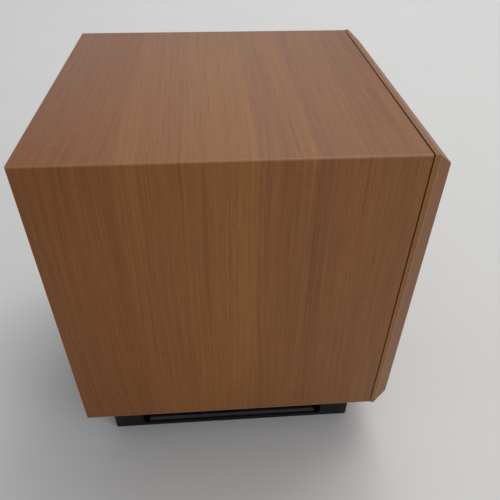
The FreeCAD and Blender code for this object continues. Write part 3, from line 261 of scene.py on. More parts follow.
# fine straight veneer figure. Vector runs across the grain, along it, and into the leaf, in metres
def makeVeneerGroup():
    setup = figureSetup
    group, given, result = newGroup(
        "veneerFigure",
        [("Vector", "Vector", None), ("Leaf", "Float", 0.0), ("Light", "Color", None),
         ("Dark", "Color", None)],
        [("Color", "Color"), ("Roughness", "Float"), ("Height", "Float")])

    def layer(name, vector):
        acrossGrain, alongGrain, detail, rough = setup[name]
        scaled = stretch(group, vector, (acrossGrain, alongGrain, acrossGrain))
        return noiseAt(group, scaled, 1.0, detail, rough)

    seed = put(group, "ShaderNodeCombineXYZ", {
        0: calc(group, "MULTIPLY", given["Leaf"], setup["leafStep"][0]),
        1: calc(group, "MULTIPLY", given["Leaf"], setup["leafStep"][1])}).outputs[0]
    spot = put(group, "ShaderNodeVectorMath", {0: given["Vector"], 1: seed}, operation="ADD").outputs[0]
    sideways = remap(group, layer("drift", spot), 0, 1, -setup["wander"], setup["wander"])
    shift = put(group, "ShaderNodeCombineXYZ", {0: sideways}).outputs[0]
    bent = put(group, "ShaderNodeVectorMath", {0: spot, 1: shift}, operation="ADD").outputs[0]
    fibre = layer("fibre", bent)
    patch = layer("patch", bent)
    pores = remap(group, layer("pore", bent), 0.60, 0.70)
    flecks = remap(group, layer("fleck", bent), 0.62, 0.72)
    parts = ((layer("wide", bent), 0.25, setup["wideTone"]),
             (layer("narrow", bent), 0.25, setup["narrowTone"]),
             (fibre, 0.25, setup["fibreTone"]), (patch, 0.3, setup["patchTone"]))
    tone = 0.0
    for part, low, amount in parts:
        tone = calc(group, "ADD", tone, remap(group, part, low, 1 - low, -amount, amount))
    tone = calc(group, "ADD", tone, 0.5, clamp=True)
    color = blendColors(group, tone, given["Dark"], given["Light"])
    poreShare = calc(group, "MULTIPLY", pores, setup["poreAmount"])
    color = blendColors(group, poreShare, color, setup["poreTone"])
    fleckShare = calc(group, "MULTIPLY", flecks, setup["fleckAmount"])
    color = blendColors(group, fleckShare, color, setup["fleckTone"])
    group.links.new(color, result["Color"])
    rough = calc(group, "ADD", remap(group, patch, 0.3, 0.7, *setup["roughness"]),
                 calc(group, "MULTIPLY", pores, setup["poreRoughness"]))
    group.links.new(rough, result["Roughness"])
    relief = calc(group, "SUBTRACT", calc(group, "MULTIPLY", fibre, setup["fibreRelief"]),
                  calc(group, "MULTIPLY", pores, setup["poreRelief"]))
    group.links.new(relief, result["Height"])
    return group


mottleSetup = {
    "fineShare": 0.45,
    "cloudShare": 0.55,
    "toneRange": (0.32, 0.68),                  # noise levels that make the darkest and lightest tone
    "cloudRange": (0.3, 0.7),                   # and the smoothest and roughest spots
}


# uneven tone and relief at two scales, for paint, plastic, rubber and metal
def makeMottleGroup():
    setup = mottleSetup
    group, given, result = newGroup(
        "mottle",
        [("Vector", "Vector", None), ("Grain", "Float", 900.0), ("Cloud", "Float", 30.0),
         ("Light", "Color", None), ("Dark", "Color", None), ("Smooth", "Float", 0.4),
         ("Rough", "Float", 0.5)],
        [("Color", "Color"), ("Roughness", "Float"), ("Height", "Float")])
    fine = noiseAt(group, given["Vector"], given["Grain"], 2.0, 0.6)
    cloud = noiseAt(group, given["Vector"], given["Cloud"], 4.0, 0.6)
    tone = weigh(group, fine, setup["fineShare"], cloud, setup["cloudShare"])
    tone = remap(group, tone, *setup["toneRange"])
    group.links.new(blendColors(group, tone, given["Dark"], given["Light"]), result["Color"])
    spread = remap(group, cloud, *setup["cloudRange"], given["Smooth"], given["Rough"])
    group.links.new(spread, result["Roughness"])
    group.links.new(fine, result["Height"])
    return group


dustSetup = {
    "specks": 420.0,                            # to a metre
    "speckRange": (0.45, 0.75),
    "slopeRange": (0.2, 0.9),                   # how far up a face has to look
    "tone": (0.42, 0.41, 0.39, 1),
}


# a little settled dust on faces that look up
def makeDustGroup():
    setup = dustSetup
    group, given, result = newGroup(
        "dust", [("Vector", "Vector", None), ("Color", "Color", None), ("Amount", "Float", 0.2)],
        [("Color", "Color")])
    normal = put(group, "ShaderNodeNewGeometry").outputs["Normal"]
    up = put(group, "ShaderNodeSeparateXYZ", {0: normal}).outputs[2]
    specks = noiseAt(group, given["Vector"], setup["specks"], 3.0, 0.7)
    specks = remap(group, specks, *setup["speckRange"])
    settled = calc(group, "MULTIPLY", remap(group, up, *setup["slopeRange"]), specks)
    share = calc(group, "MULTIPLY", settled, given["Amount"])
    group.links.new(blendColors(group, share, given["Color"], setup["tone"]), result["Color"])
    return group


veneerGroup = makeVeneerGroup()
mottleGroup = makeMottleGroup()
dustGroup = makeDustGroup()


# wood

veneerFinish = {
    "light": (0.340, 0.133, 0.034, 1),
    "dark": (0.172, 0.057, 0.011, 1),
    "panelLight": (0.295, 0.118, 0.030, 1),
    "panelDark": (0.160, 0.056, 0.011, 1),
    "leaves": (                                 # each starts at a share of the depth, from the front
        {"start": 0.0, "seed": 0.42, "tint": (0.93, 0.95, 1.00, 1)},
        {"start": 0.12, "seed": 0.10, "tint": (0.97, 0.98, 1.04, 1)},
        {"start": 0.231, "seed": 0.55, "tint": (0.93, 0.92, 0.99, 1)},
        {"start": 0.273, "seed": 0.30, "tint": (1.02, 1.03, 1.05, 1)},
        {"start": 0.343, "seed": 0.82, "tint": (0.97, 0.97, 1.00, 1)},
        {"start": 0.417, "seed": 0.36, "tint": (1.08, 1.12, 0.96, 1)},
        {"start": 0.60, "seed": 0.66, "tint": (1.02, 0.99, 0.84, 1)},
        {"start": 0.764, "seed": 0.20, "tint": (0.90, 0.81, 0.58, 1)},
    ),
    "slant": 0.9,                               # sideways run of the figure through the board
    # painted highlight: a lighter tone along the arrises of the wrap boards
    "arrisHighlightTone": (0.56, 0.33, 0.16, 1),
    "bandHighlightTone": (0.42, 0.19, 0.050, 1),        # painted highlight on the narrow flat and arrises round the front panel
    "bandHighlightAmount": 0.22,
    "panelChamfer": 0.008,
    "panelTurn": 0.001,                         # over which the figure turns on to the chamfer
    "panelLeaf": 0.63,                          # seed of the panel's leaf
    "panelStart": 1.7,                          # height on that leaf where the panel was cut
    "skin": 0.0014,                             # veneer and its crossband
    "skinFade": 1.3,                            # the core is bare from here on, in skins
    "coreRoughness": 0.4,
    # width, full-strength share and strength of the painted arris highlight
    "arrisHighlightWidth": 0.0016,
    "arrisHighlightCore": 0.3,                            # share of the width that gets the painted highlight at full strength
    "arrisHighlightAmount": 0.36,
    "grainHeight": 0.00005,
    "lacquer": {"Coat Weight": 0.05, "Coat Roughness": 0.3, "IOR": 1.45, "Specular IOR Level": 0.4},
}


# a colour that changes in a step at each joint between veneer leaves
def leafAt(tree, depth, colors):
    share = remap(tree, depth, cabinetLow.y, cabinetHigh.y)
    ramp = put(tree, "ShaderNodeValToRGB", {"Fac": share})
    ramp.color_ramp.interpolation = "CONSTANT"
    stops = ramp.color_ramp.elements
    while len(stops) < len(colors):
        stops.new(1.0)
    for stop, leaf, color in zip(stops, veneerFinish["leaves"], colors):
        stop.position = leaf["start"]
        stop.color = color
    return ramp.outputs["Color"]


# mask of a painted highlight along the arris at both ends of a board: lighter veneer that stands in for
# light caught on the edge
def arrisHighlightMask(tree, run, ends):
    low, high = ends
    width = veneerFinish["arrisHighlightWidth"]
    fromEnd = calc(tree, "MINIMUM", calc(tree, "SUBTRACT", run, low), calc(tree, "SUBTRACT", high, run))
    return remap(tree, fromEnd, width * veneerFinish["arrisHighlightCore"], width, 1.0, 0.0)


# mask of the bare core: deeper than the veneer, but not on the edged front and rear
def coreMask(tree, into, y):
    skin = veneerFinish["skin"]
    deep = remap(tree, calc(tree, "ABSOLUTE", into), skin, skin * veneerFinish["skinFade"])
    fromFront = calc(tree, "SUBTRACT", y, cabinetLow.y)
    fromRear = calc(tree, "SUBTRACT", cabinetHigh.y, y)
    covered = remap(tree, calc(tree, "MINIMUM", fromFront, fromRear), skin / 4, skin / 2)
    return calc(tree, "MULTIPLY", deep, covered)


# veneer of one wrap board: grain runs along one axis, leaves are laid side by side in Y
def veneerMaterial(name, along, start, sign, depthAxis, depthStart, ends):
    material, tree, shader, place = newMaterial(name, **veneerFinish["lacquer"])
    axes = put(tree, "ShaderNodeSeparateXYZ", {0: place}).outputs
    run = calc(tree, "MULTIPLY", calc(tree, "SUBTRACT", axes[along], start), sign)
    into = calc(tree, "SUBTRACT", axes[depthAxis], depthStart)
    across = calc(tree, "ADD", axes[1], calc(tree, "MULTIPLY", into, veneerFinish["slant"]))
    vector = put(tree, "ShaderNodeCombineXYZ", {0: across, 1: run}).outputs[0]
    seeds = leafAt(tree, axes[1], [(leaf["seed"],) * 3 + (1,) for leaf in veneerFinish["leaves"]])
    figure = placeGroup(tree, veneerGroup, {
        "Vector": vector, "Leaf": seeds, "Light": veneerFinish["light"], "Dark": veneerFinish["dark"]})
    tints = leafAt(tree, axes[1], [leaf["tint"] for leaf in veneerFinish["leaves"]])
    color = blendColors(tree, 1.0, figure["Color"], tints, "MULTIPLY")
    # painted highlight along the arrises at both ends of the board
    arrisHighlight = calc(tree, "MULTIPLY", arrisHighlightMask(tree, axes[along], ends), veneerFinish["arrisHighlightAmount"])
    color = blendColors(tree, arrisHighlight, color, veneerFinish["arrisHighlightTone"])
    core = coreMask(tree, into, axes[1])
    board = finishes["rawBoard"]
    raw = placeGroup(tree, mottleGroup, {
        "Vector": place, "Grain": board["grain"], "Cloud": board["cloud"],
        "Light": (*board["light"], 1), "Dark": (*board["dark"], 1)})
    tree.links.new(blendColors(tree, core, color, raw["Color"]), shader.inputs["Base Color"])
    rough = calc(tree, "ADD", figure["Roughness"],
                 calc(tree, "MULTIPLY", core, veneerFinish["coreRoughness"]))
    tree.links.new(rough, shader.inputs["Roughness"])
    joinBump(tree, shader, figure["Height"], veneerFinish["grainHeight"])
    return material


def dressWrap():
    x0, x1, z0, z1 = cabinetLow.x, cabinetHigh.x, cabinetLow.z, cabinetHigh.z
    dress(veneerMaterial("topVeneer", 0, x0, 1, 2, z1, (x0, x1)), "top_board")
    dress(veneerMaterial("leftVeneer", 2, z1, 1, 0, x0, (z0, z1)), "left_board")
    dress(veneerMaterial("rightVeneer", 2, z1, -1, 0, x1, (z0, z1)), "right_board")
    dress(veneerMaterial("bottomVeneer", 0, x0, -1, 2, z0, (x0, x1)), "bottom_board")


# upright veneer of the front panel, with its grain turned over the side chamfers
def panelVeneer():
    material, tree, shader, place = newMaterial("panelVeneer", **veneerFinish["lacquer"])
    axes = put(tree, "ShaderNodeSeparateXYZ", {0: place}).outputs
    low, high = nodeBox("front_panel")
    inside = high.x - veneerFinish["panelChamfer"]
    outer = remap(tree, calc(tree, "ABSOLUTE", axes[0]), inside, inside + veneerFinish["panelTurn"])
    turned = calc(tree, "MULTIPLY", calc(tree, "SUBTRACT", axes[1], low.y), calc(tree, "SIGN", axes[0]))
    across = calc(tree, "ADD", axes[0], calc(tree, "MULTIPLY", turned, outer))
    upward = calc(tree, "ADD", axes[2], veneerFinish["panelStart"])
    vector = put(tree, "ShaderNodeCombineXYZ", {0: across, 1: upward}).outputs[0]
    figure = placeGroup(tree, veneerGroup, {
        "Vector": vector, "Leaf": veneerFinish["panelLeaf"], "Light": veneerFinish["panelLight"],
        "Dark": veneerFinish["panelDark"]})
    # painted highlight: a lighter golden tone near the panel's outer sides, top and bottom
    sides = arrisHighlightMask(tree, axes[0], (low.x, high.x))
    ends = arrisHighlightMask(tree, axes[2], (low.z, high.z))
    arrisHighlight = calc(tree, "MULTIPLY", calc(tree, "MAXIMUM", sides, ends), veneerFinish["bandHighlightAmount"])
    color = blendColors(tree, arrisHighlight, figure["Color"], veneerFinish["bandHighlightTone"])
    tree.links.new(color, shader.inputs["Base Color"])
    tree.links.new(figure["Roughness"], shader.inputs["Roughness"])
    joinBump(tree, shader, figure["Height"], veneerFinish["grainHeight"])
    return material


# painted, moulded and metal finishes

finishes = {
    "rawBoard": dict(dark=(0.30, 0.20, 0.11), light=(0.50, 0.37, 0.23), grain=1400, cloud=60,
                     rough=(0.75, 0.9), relief=0.00012),
    "backFoil": dict(dark=(0.010, 0.010, 0.010), light=(0.022, 0.021, 0.020), grain=700, cloud=40,
                     rough=(0.5, 0.62), relief=0.00006, dust=0.06),
    "plinthPaint": dict(dark=(0.0028, 0.0032, 0.0048), light=(0.0062, 0.007, 0.010), grain=500, cloud=25,
                        rough=(0.36, 0.48), relief=0.00005, dust=0.03, shine=0.22),
    "beadPlastic": dict(dark=(0.008, 0.008, 0.0105), light=(0.018, 0.018, 0.025), grain=600, cloud=30,
                        rough=(0.16, 0.26), relief=0.00002, dust=0.03),
    "footRubber": dict(dark=(0.012, 0.012, 0.012), light=(0.035, 0.034, 0.032), grain=1200, cloud=90,
                       rough=(0.7, 0.85), relief=0.00008),
    "rollRubber": dict(dark=(0.010, 0.010, 0.010), light=(0.020, 0.020, 0.021), grain=900, cloud=50,
                       rough=(0.36, 0.5), relief=0.00004),
    "sealFoam": dict(dark=(0.012, 0.012, 0.012), light=(0.05, 0.05, 0.05), grain=2200, cloud=200,
                     rough=(0.85, 0.95), relief=0.0002),
    "card": dict(dark=(0.03, 0.027, 0.023), light=(0.07, 0.062, 0.052), grain=1500, cloud=90,
                 rough=(0.8, 0.9), relief=0.0001),
    "powderCoat": dict(dark=(0.010, 0.010, 0.011), light=(0.026, 0.026, 0.028), grain=1500, cloud=35,
                       rough=(0.42, 0.55), relief=0.00014),
    "blackOxide": dict(dark=(0.018, 0.018, 0.020), light=(0.06, 0.06, 0.065), grain=900, cloud=250,
                       rough=(0.3, 0.48), relief=0.00002, metal=1.0),
    "zinc": dict(dark=(0.36, 0.35, 0.30), light=(0.58, 0.57, 0.52), grain=700, cloud=160,
                 rough=(0.3, 0.45), relief=0.00002, metal=1.0),
    "anodised": dict(dark=(0.014, 0.014, 0.015), light=(0.034, 0.034, 0.036), grain=1800, cloud=60,
                     rough=(0.34, 0.44), relief=0.00003, metal=0.6),
    "foilAlloy": dict(dark=(0.55, 0.55, 0.55), light=(0.75, 0.75, 0.76), grain=800, cloud=120,
                      rough=(0.25, 0.4), relief=0.00002, metal=1.0),
    "ferrite": dict(dark=(0.030, 0.030, 0.033), light=(0.075, 0.075, 0.08), grain=1300, cloud=70,
                    rough=(0.5, 0.65), relief=0.00008, metal=0.3),
    "fibreStrip": dict(dark=(0.13, 0.07, 0.03), light=(0.26, 0.15, 0.07), grain=1600, cloud=90,
                       rough=(0.6, 0.75), relief=0.00006),
    "softBlack": dict(dark=(0.010, 0.010, 0.010), light=(0.022, 0.022, 0.022), grain=1400, cloud=60,
                      rough=(0.5, 0.6), relief=0.00004, dust=0.05),
    "nylon": dict(dark=(0.012, 0.012, 0.012), light=(0.028, 0.028, 0.028), grain=1200, cloud=80,
                  rough=(0.42, 0.55), relief=0.00004, dust=0.05),
    "glossBlack": dict(dark=(0.008, 0.008, 0.008), light=(0.017, 0.017, 0.017), grain=900, cloud=50,
                       rough=(0.16, 0.26), relief=0.00001),
    "epoxy": dict(dark=(0.014, 0.014, 0.014), light=(0.032, 0.032, 0.032), grain=1500, cloud=90,
                  rough=(0.5, 0.65), relief=0.00005),
    "sleeve": dict(dark=(0.010, 0.016, 0.06), light=(0.020, 0.032, 0.12), grain=900, cloud=60,
                   rough=(0.25, 0.35), relief=0.00001),
    "nickel": dict(dark=(0.52, 0.49, 0.42), light=(0.74, 0.71, 0.64), grain=800, cloud=150,
                   rough=(0.16, 0.28), relief=0.00001, metal=1.0),
    "insertWhite": dict(dark=(0.52, 0.51, 0.48), light=(0.66, 0.65, 0.62), grain=1200, cloud=90,
                        rough=(0.4, 0.5), relief=0.00002),
    "printWhite": dict(dark=(0.55, 0.55, 0.53), light=(0.72, 0.72, 0.70), grain=1500, cloud=120,
                       rough=(0.5, 0.6), relief=0.00001),
    "ringRed": dict(dark=(0.33, 0.012, 0.010), light=(0.48, 0.022, 0.016), grain=1200, cloud=90,
                    rough=(0.35, 0.45), relief=0.00002),
    "leadSheath": dict(dark=(0.16, 0.010, 0.010), light=(0.26, 0.018, 0.015), grain=900, cloud=70,
                       rough=(0.4, 0.5), relief=0.00002),
}


# material of one plain finish, with uneven tone, roughness and fine relief
def finish(name):
    values = finishes[name]
    material, tree, shader, place = newMaterial(name)
    mottled = placeGroup(tree, mottleGroup, {
        "Vector": place, "Grain": values["grain"], "Cloud": values["cloud"],
        "Light": (*values["light"], 1), "Dark": (*values["dark"], 1),
        "Smooth": values["rough"][0], "Rough": values["rough"][1]})
    color = mottled["Color"]
    if "dust" in values:
        settled = {"Vector": place, "Color": color, "Amount": values["dust"]}
        color = placeGroup(tree, dustGroup, settled)["Color"]
    tree.links.new(color, shader.inputs["Base Color"])
    tree.links.new(mottled["Roughness"], shader.inputs["Roughness"])
    shader.inputs["Metallic"].default_value = values.get("metal", 0.0)
    shader.inputs["Specular IOR Level"].default_value = values.get("shine", 0.5)
    joinBump(tree, shader, mottled["Height"], values["relief"])
    return material


made = {name: finish(name) for name in finishes}

wornBy = {
    "rawBoard": ["baffle_board", "cross_brace", "corner_battens", "plinth_blocks"],
    "backFoil": ["back_board"],
    "plinthPaint": ["plinth_front", "plinth_right", "plinth_rear", "plinth_left"],
    "beadPlastic": ["slot_beads"],
    "footRubber": ["rubber_feet"],
    "sealFoam": ["driver_gasket", "amp_gasket"],
    "card": ["surround_seat"],
    "powderCoat": ["driver_frame", "amp_plate"],
    "blackOxide": ["driver_screws", "amp_screws", "transformer_clamp"],
    "zinc": ["front_panel_screws", "plinth_screws", "top_plate", "back_plate", "control_pots"],
    "anodised": ["heat_sink"],
    "foilAlloy": ["coil_former"],
    "ferrite": ["magnet"],
    "fibreStrip": ["driver_terminals"],
    "softBlack": ["level_knob", "crossover_knob"],
    "nylon": ["slide_switches", "rocker_frame", "fuse_holder", "mains_inlet", "phase_lever",
              "auto_lever"],
    "glossBlack": ["fuse_cap", "power_rocker"],
    "epoxy": ["output_transistors"],
    "sleeve": ["filter_capacitors"],
    "nickel": ["line_sockets", "inlet_pins"],
    "insertWhite": ["socket_inserts"],
    "leadSheath": ["driver_lead"],
}


windings = {
    "coilWire": {"light": (0.66, 0.30, 0.13, 1), "dark": (0.30, 0.10, 0.04, 1), "axis": "Z",
                 "radian": 0.0006, "fixed": {"Metallic": 0.9, "Roughness": 0.35}},
    "tinselBraid": {"light": (0.55, 0.40, 0.25, 1), "dark": (0.22, 0.14, 0.08, 1), "axis": "Y",
                    "radian": 0.0012, "fixed": {"Metallic": 0.8, "Roughness": 0.4}},
}
windingSetup = {
    "bandsPerUnit": 20,                         # radians that a wave texture of scale 1 makes in 1 m
    "wobble": 0.4,
    "wobbleSize": 40.0,
    "clouds": 260.0,
    "relief": 0.0002,
}


# fine turns of wire laid along one axis; radian is the length of one radian of their wave
def windingMaterial(name):
    values, setup = windings[name], windingSetup
    material, tree, shader, place = newMaterial(name, **values["fixed"])
    scale = 1 / values["radian"] / setup["bandsPerUnit"]
    wave = waveAt(tree, place, values["axis"], scale, setup)
    uneven = noiseAt(tree, place, setup["clouds"], 3.0)
    tone = calc(tree, "MULTIPLY", wave, remap(tree, uneven, 0.3, 0.7, 0.6, 1.0))
    joinColor(tree, shader, tone, values)
    joinBump(tree, shader, wave, setup["relief"])
    return material


tapeSetup = {
    "light": (0.62, 0.44, 0.13, 1),
    "dark": (0.20, 0.12, 0.025, 1),
    "laps": 48,                                 # round the ring
    "lean": 28.0,                               # laps that the tape shifts by in a metre of depth
    "lapShare": 0.5,
    "clouds": 160.0,
    "cloudShare": 0.6,
    "relief": 0.0004,
    "fixed": {"Roughness": 0.28, "Coat Weight": 0.3},
}


# tape laid round the transformer's ring, each turn overlapping the last
def tapeMaterial():
    setup = tapeSetup
    material, tree, shader, place = newMaterial("coreTape", **setup["fixed"])
    axes = put(tree, "ShaderNodeSeparateXYZ", {0: place}).outputs
    centre = middleOf("power_transformer")
    up = calc(tree, "SUBTRACT", axes[2], centre.z)
    turn = calc(tree, "ARCTAN2", up, calc(tree, "SUBTRACT", axes[0], centre.x))
    around = calc(tree, "MULTIPLY", turn, setup["laps"] / (2 * math.pi))
    lap = calc(tree, "FRACT", calc(tree, "ADD", around, calc(tree, "MULTIPLY", axes[1], setup["lean"])))
    clouds = noiseAt(tree, place, setup["clouds"], 3.0)
    tone = weigh(tree, lap, setup["lapShare"], clouds, setup["cloudShare"])
    joinColor(tree, shader, tone, setup)
    joinBump(tree, shader, lap, setup["relief"])
    return material


paperSetup = {
    "light": (0.042, 0.041, 0.040, 1),
    "dark": (0.010, 0.010, 0.011, 1),
    "pulp": 900.0,
    "fibres": 700.0,
    "fibreWidth": 0.12,                         # share of a cell
    "pulpShare": 0.8,
    "fibreShare": 0.25,
    "relief": 0.0002,
    "coneRoughness": 0.62,
    "capRoughness": 0.5,
}


# pressed pulp with short fibres
def paperMaterial(name, rough):
    setup = paperSetup
    material, tree, shader, place = newMaterial(name)
    pulp = noiseAt(tree, place, setup["pulp"], 4.0, 0.7)
    values = {"Vector": place, "Scale": setup["fibres"], "Randomness": 1.0}
    cells = put(tree, "ShaderNodeTexVoronoi", values, feature="DISTANCE_TO_EDGE")
    web = remap(tree, cells.outputs["Distance"], 0.0, setup["fibreWidth"], 1.0, 0.0)
    tone = weigh(tree, pulp, setup["pulpShare"], web, setup["fibreShare"])
    joinColor(tree, shader, tone, setup)
    tree.links.new(remap(tree, pulp, 0.3, 0.7, rough - 0.08, rough + 0.1), shader.inputs["Roughness"])
    joinBump(tree, shader, tone, setup["relief"])
    return material


clothSetup = {
    "light": (0.46, 0.30, 0.13, 1),
    "dark": (0.16, 0.085, 0.03, 1),
    "threads": 60.0,
    "wobble": 0.6,
    "wobbleSize": 30.0,
    "clouds": 200.0,
    "roughness": (0.7, 0.9),
    "relief": 0.0003,
    "fixed": {"Sheen Weight": 0.2},
}


# woven, resin-stiffened cloth
def clothMaterial():
    setup = clothSetup
    material, tree, shader, place = newMaterial("spiderCloth", **setup["fixed"])
    warp, weft = [waveAt(tree, place, direction, setup["threads"], setup) for direction in ("X", "Y")]
    weave = calc(tree, "MULTIPLY", warp, weft)
    uneven = noiseAt(tree, place, setup["clouds"], 3.0)
    tone = calc(tree, "MULTIPLY", calc(tree, "ADD", weave, 0.3), remap(tree, uneven, 0.3, 0.7, 0.7, 1.0))
    joinColor(tree, shader, tone, setup)
    tree.links.new(remap(tree, uneven, 0.3, 0.7, *setup["roughness"]), shader.inputs["Roughness"])
    joinBump(tree, shader, weave, setup["relief"])
    return material


woolSetup = {
    "light": (0.86, 0.86, 0.84, 1),
    "dark": (0.52, 0.52, 0.50, 1),
    "fluff": 260.0,
    "fluffShare": 0.6,
    "strands": (900, 160, 900),
    "strandShare": 0.4,
    "roughness": (0.85, 1.0),
    "relief": 0.0012,
    "fixed": {"Sheen Weight": 0.5},
}


# loose polyester fibre
def woolMaterial():
    setup = woolSetup
    material, tree, shader, place = newMaterial("waddingFibre", **setup["fixed"])
    fluff = noiseAt(tree, place, setup["fluff"], 6.0, 0.75)
    strands = noiseAt(tree, stretch(tree, place, setup["strands"]), 1.0, 3.0, 0.6)
    tone = weigh(tree, fluff, setup["fluffShare"], strands, setup["strandShare"])
    joinColor(tree, shader, tone, setup)
    tree.links.new(remap(tree, fluff, 0.3, 0.7, *setup["roughness"]), shader.inputs["Roughness"])
    joinBump(tree, shader, tone, setup["relief"])
    return material


circuitSetup = {
    "mask": ((0.012, 0.085, 0.030, 1), (0.016, 0.11, 0.038, 1)),
    "run": (0.05, 0.22, 0.08, 1),
    "runs": 90.0,
    "runWidth": 0.035,
    "pad": (0.45, 0.44, 0.40, 1),
    "pads": 240.0,
    "padEdge": (0.16, 0.12),                    # outer and inner edge of a pad, in cells
    "relief": 0.00004,
    "fixed": {"Roughness": 0.32, "Coat Weight": 0.3},
}


# green board with lighter copper runs under the mask
def circuitMaterial():
    setup = circuitSetup
    material, tree, shader, place = newMaterial("circuitBoard", **setup["fixed"])
    first, second = setup["mask"]
    runs = put(tree, "ShaderNodeTexBrick", {
        "Vector": stretch(tree, place, (1, 0, 1)), "Scale": setup["runs"], "Color1": first,
        "Color2": second, "Mortar": setup["run"], "Mortar Size": setup["runWidth"]}).outputs
    spots = put(tree, "ShaderNodeTexVoronoi", {"Vector": place, "Scale": setup["pads"]}).outputs
    pads = remap(tree, spots["Distance"], *setup["padEdge"])
    color = blendColors(tree, pads, runs["Color"], setup["pad"])
    tree.links.new(color, shader.inputs["Base Color"])
    joinBump(tree, shader, runs["Fac"], setup["relief"])
    return material


lensSetup = {
    "light": (0.08, 0.42, 0.12, 1),
    "dark": (0.03, 0.22, 0.05, 1),
    "clouds": 900.0,
    "fixed": {"Transmission Weight": 0.35, "Roughness": 0.25, "IOR": 1.49},
}


# diffused green lens
def lensMaterial():
    setup = lensSetup
    material, tree, shader, place = newMaterial("statusLens", **setup["fixed"])
    clouds = noiseAt(tree, place, setup["clouds"], 2.0)
    joinColor(tree, shader, clouds, setup)
    return material


def dressNodes():
    dressWrap()
    dress(panelVeneer(), "front_panel")
    for name, wearers in wornBy.items():
        dress(made[name], *wearers)
    dress(windingMaterial("coilWire"), "voice_coil")
    dress(tapeMaterial(), "power_transformer")
    dress(paperMaterial("capPaper", paperSetup["capRoughness"]), "dust_cap")
    dress(circuitMaterial(), "circuit_board")
    dress(lensMaterial(), "status_lens")


# pieces modelled here

# makes a piece of a finished mesh, with its material and body; a piece given no body stays unattached
# here
def placeMesh(name, mesh, body, material, smooth=35):
    for face in mesh.polygons:
        face.use_smooth = True
    mesh.set_sharp_from_angle(angle=math.radians(smooth))
    mesh.materials.clear()
    mesh.materials.append(material)
    piece = bpy.data.objects.new(name, mesh)
    bpy.context.scene.collection.objects.link(piece)
    if body:
        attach(piece, body)
    return piece


weldDistance = 1e-6


def newPiece(name, body, material, build, smooth=35):
    bm = bmesh.new()
    build(bm)
    bmesh.ops.remove_doubles(bm, verts=bm.verts, dist=weldDistance)
    bmesh.ops.recalc_face_normals(bm, faces=bm.faces)
    mesh = bpy.data.meshes.new(name)
    bm.to_mesh(mesh)
    bm.free()
    return placeMesh(name, mesh, body, material, smooth)


# spins a line of (radius, level) points about an upright axis
def spinLine(bm, points, centre, steps, start=0.0, angle=2 * math.pi, close=False):
    turn = Matrix.Rotation(start, 3, "Z")
    verts = [bm.verts.new(turn @ Vector((r, 0, z)) + centre) for r, z in points]
    path = verts + verts[:1] if close else verts
    edges = [bm.edges.new(pair) for pair in zip(path, path[1:])]
    full = abs(angle - 2 * math.pi) < 1e-6
    bmesh.ops.spin(bm, geom=verts + edges, cent=centre, axis=(0, 0, 1), angle=angle, steps=steps,
                   use_merge=full)


surroundSetup = {
    "lip": 6.0,                                 # glued band on the cone and on the frame, mm
    "thickness": 0.9,
    "rollPoints": 16,
    "sectors": 24,
    "stepsEach": 5,
    "bendEnd": 0.77,                            # share of the roll over which it follows the cone
}


def surroundLine():
    setup = surroundSetup
    outerRadius = (nodeBox("surround")[1].x - driverAxis.x) / mm
    coneRadius = (nodeBox("cone")[1].x - driverAxis.x) / mm
    frameRadius = outerRadius - setup["lip"]
    top = (nodeBox("surround")[1].z - driverAxis.z) / mm
    low = top - setup["thickness"]
    middle, half = (coneRadius + frameRadius) / 2, (frameRadius - coneRadius) / 2
    inner = half - setup["thickness"]
    upper = [(coneRadius - setup["lip"], top), (middle - inner, top)]
    lower = [(coneRadius - setup["lip"], low)]
    for step in range(setup["rollPoints"] + 1):
        turn = math.pi * step / setup["rollPoints"]
        upper.append((middle - inner * math.cos(turn), low - inner * math.sin(turn)))
        lower.append((middle - half * math.cos(turn), low - half * math.sin(turn)))
    upper += [(middle + inner, top), (outerRadius, top)]
    lower.append((outerRadius, low))
    return [(r * mm, z * mm) for r, z in upper + lower[::-1]], coneRadius * mm, frameRadius * mm


spiderSetup = {
    "innerLip": 4.0,
    "outerLip": 8.0,
    "thickness": 0.6,
    "waves": 3,
    "waveHeight": 0.9,
    "pointsEach": 12,
    "sectors": 18,
    "stepsEach": 5,
}


def spiderLine():
    setup = spiderSetup
    inner = (nodeBox("coil_former")[1].x - driverAxis.x) / mm
    outer = (nodeBox("spider")[1].x - driverAxis.x) / mm
    top = (nodeBox("spider")[1].z - driverAxis.z) / mm - setup["waveHeight"]
    first, last = inner + setup["innerLip"], outer - setup["outerLip"]
    count = setup["waves"] * setup["pointsEach"]
    upper = [(inner, top)]
    for step in range(count + 1):
        share = step / count
        upper.append((first + share * (last - first),
                      top - setup["waveHeight"] * math.sin(2 * math.pi * setup["waves"] * share)))
    upper.append((outer, top))
    lower = [(r, z - setup["thickness"]) for r, z in upper]
    return [(r * mm, z * mm) for r, z in upper + lower[::-1]], first * mm, last * mm


# a ring cut into closed sectors, each reaching from the cone to the frame
def makeSectors(name, line, count, steps, material, node):
    angle = 2 * math.pi / count
    for index in range(count):
        start = index * angle

        def build(bm):
            spinLine(bm, line, driverAxis, steps, start, angle, close=True)
            bmesh.ops.holes_fill(bm, edges=[edge for edge in bm.edges if edge.is_boundary], sides=0)

        piece = newPiece(f"{name}{index + 1:02d}", None, material, build)
        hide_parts(node)
        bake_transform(piece)


coneSetup = {
    "rim": 6.0,                                 # flat band under the surround, mm
    "bow": 1.4,                                 # how far the flank curves away from straight
    "ribs": 6,
    "ribHeight": 0.4,
    "thickness": 1.2,
    "points": 72,
    "steps": 128,
}


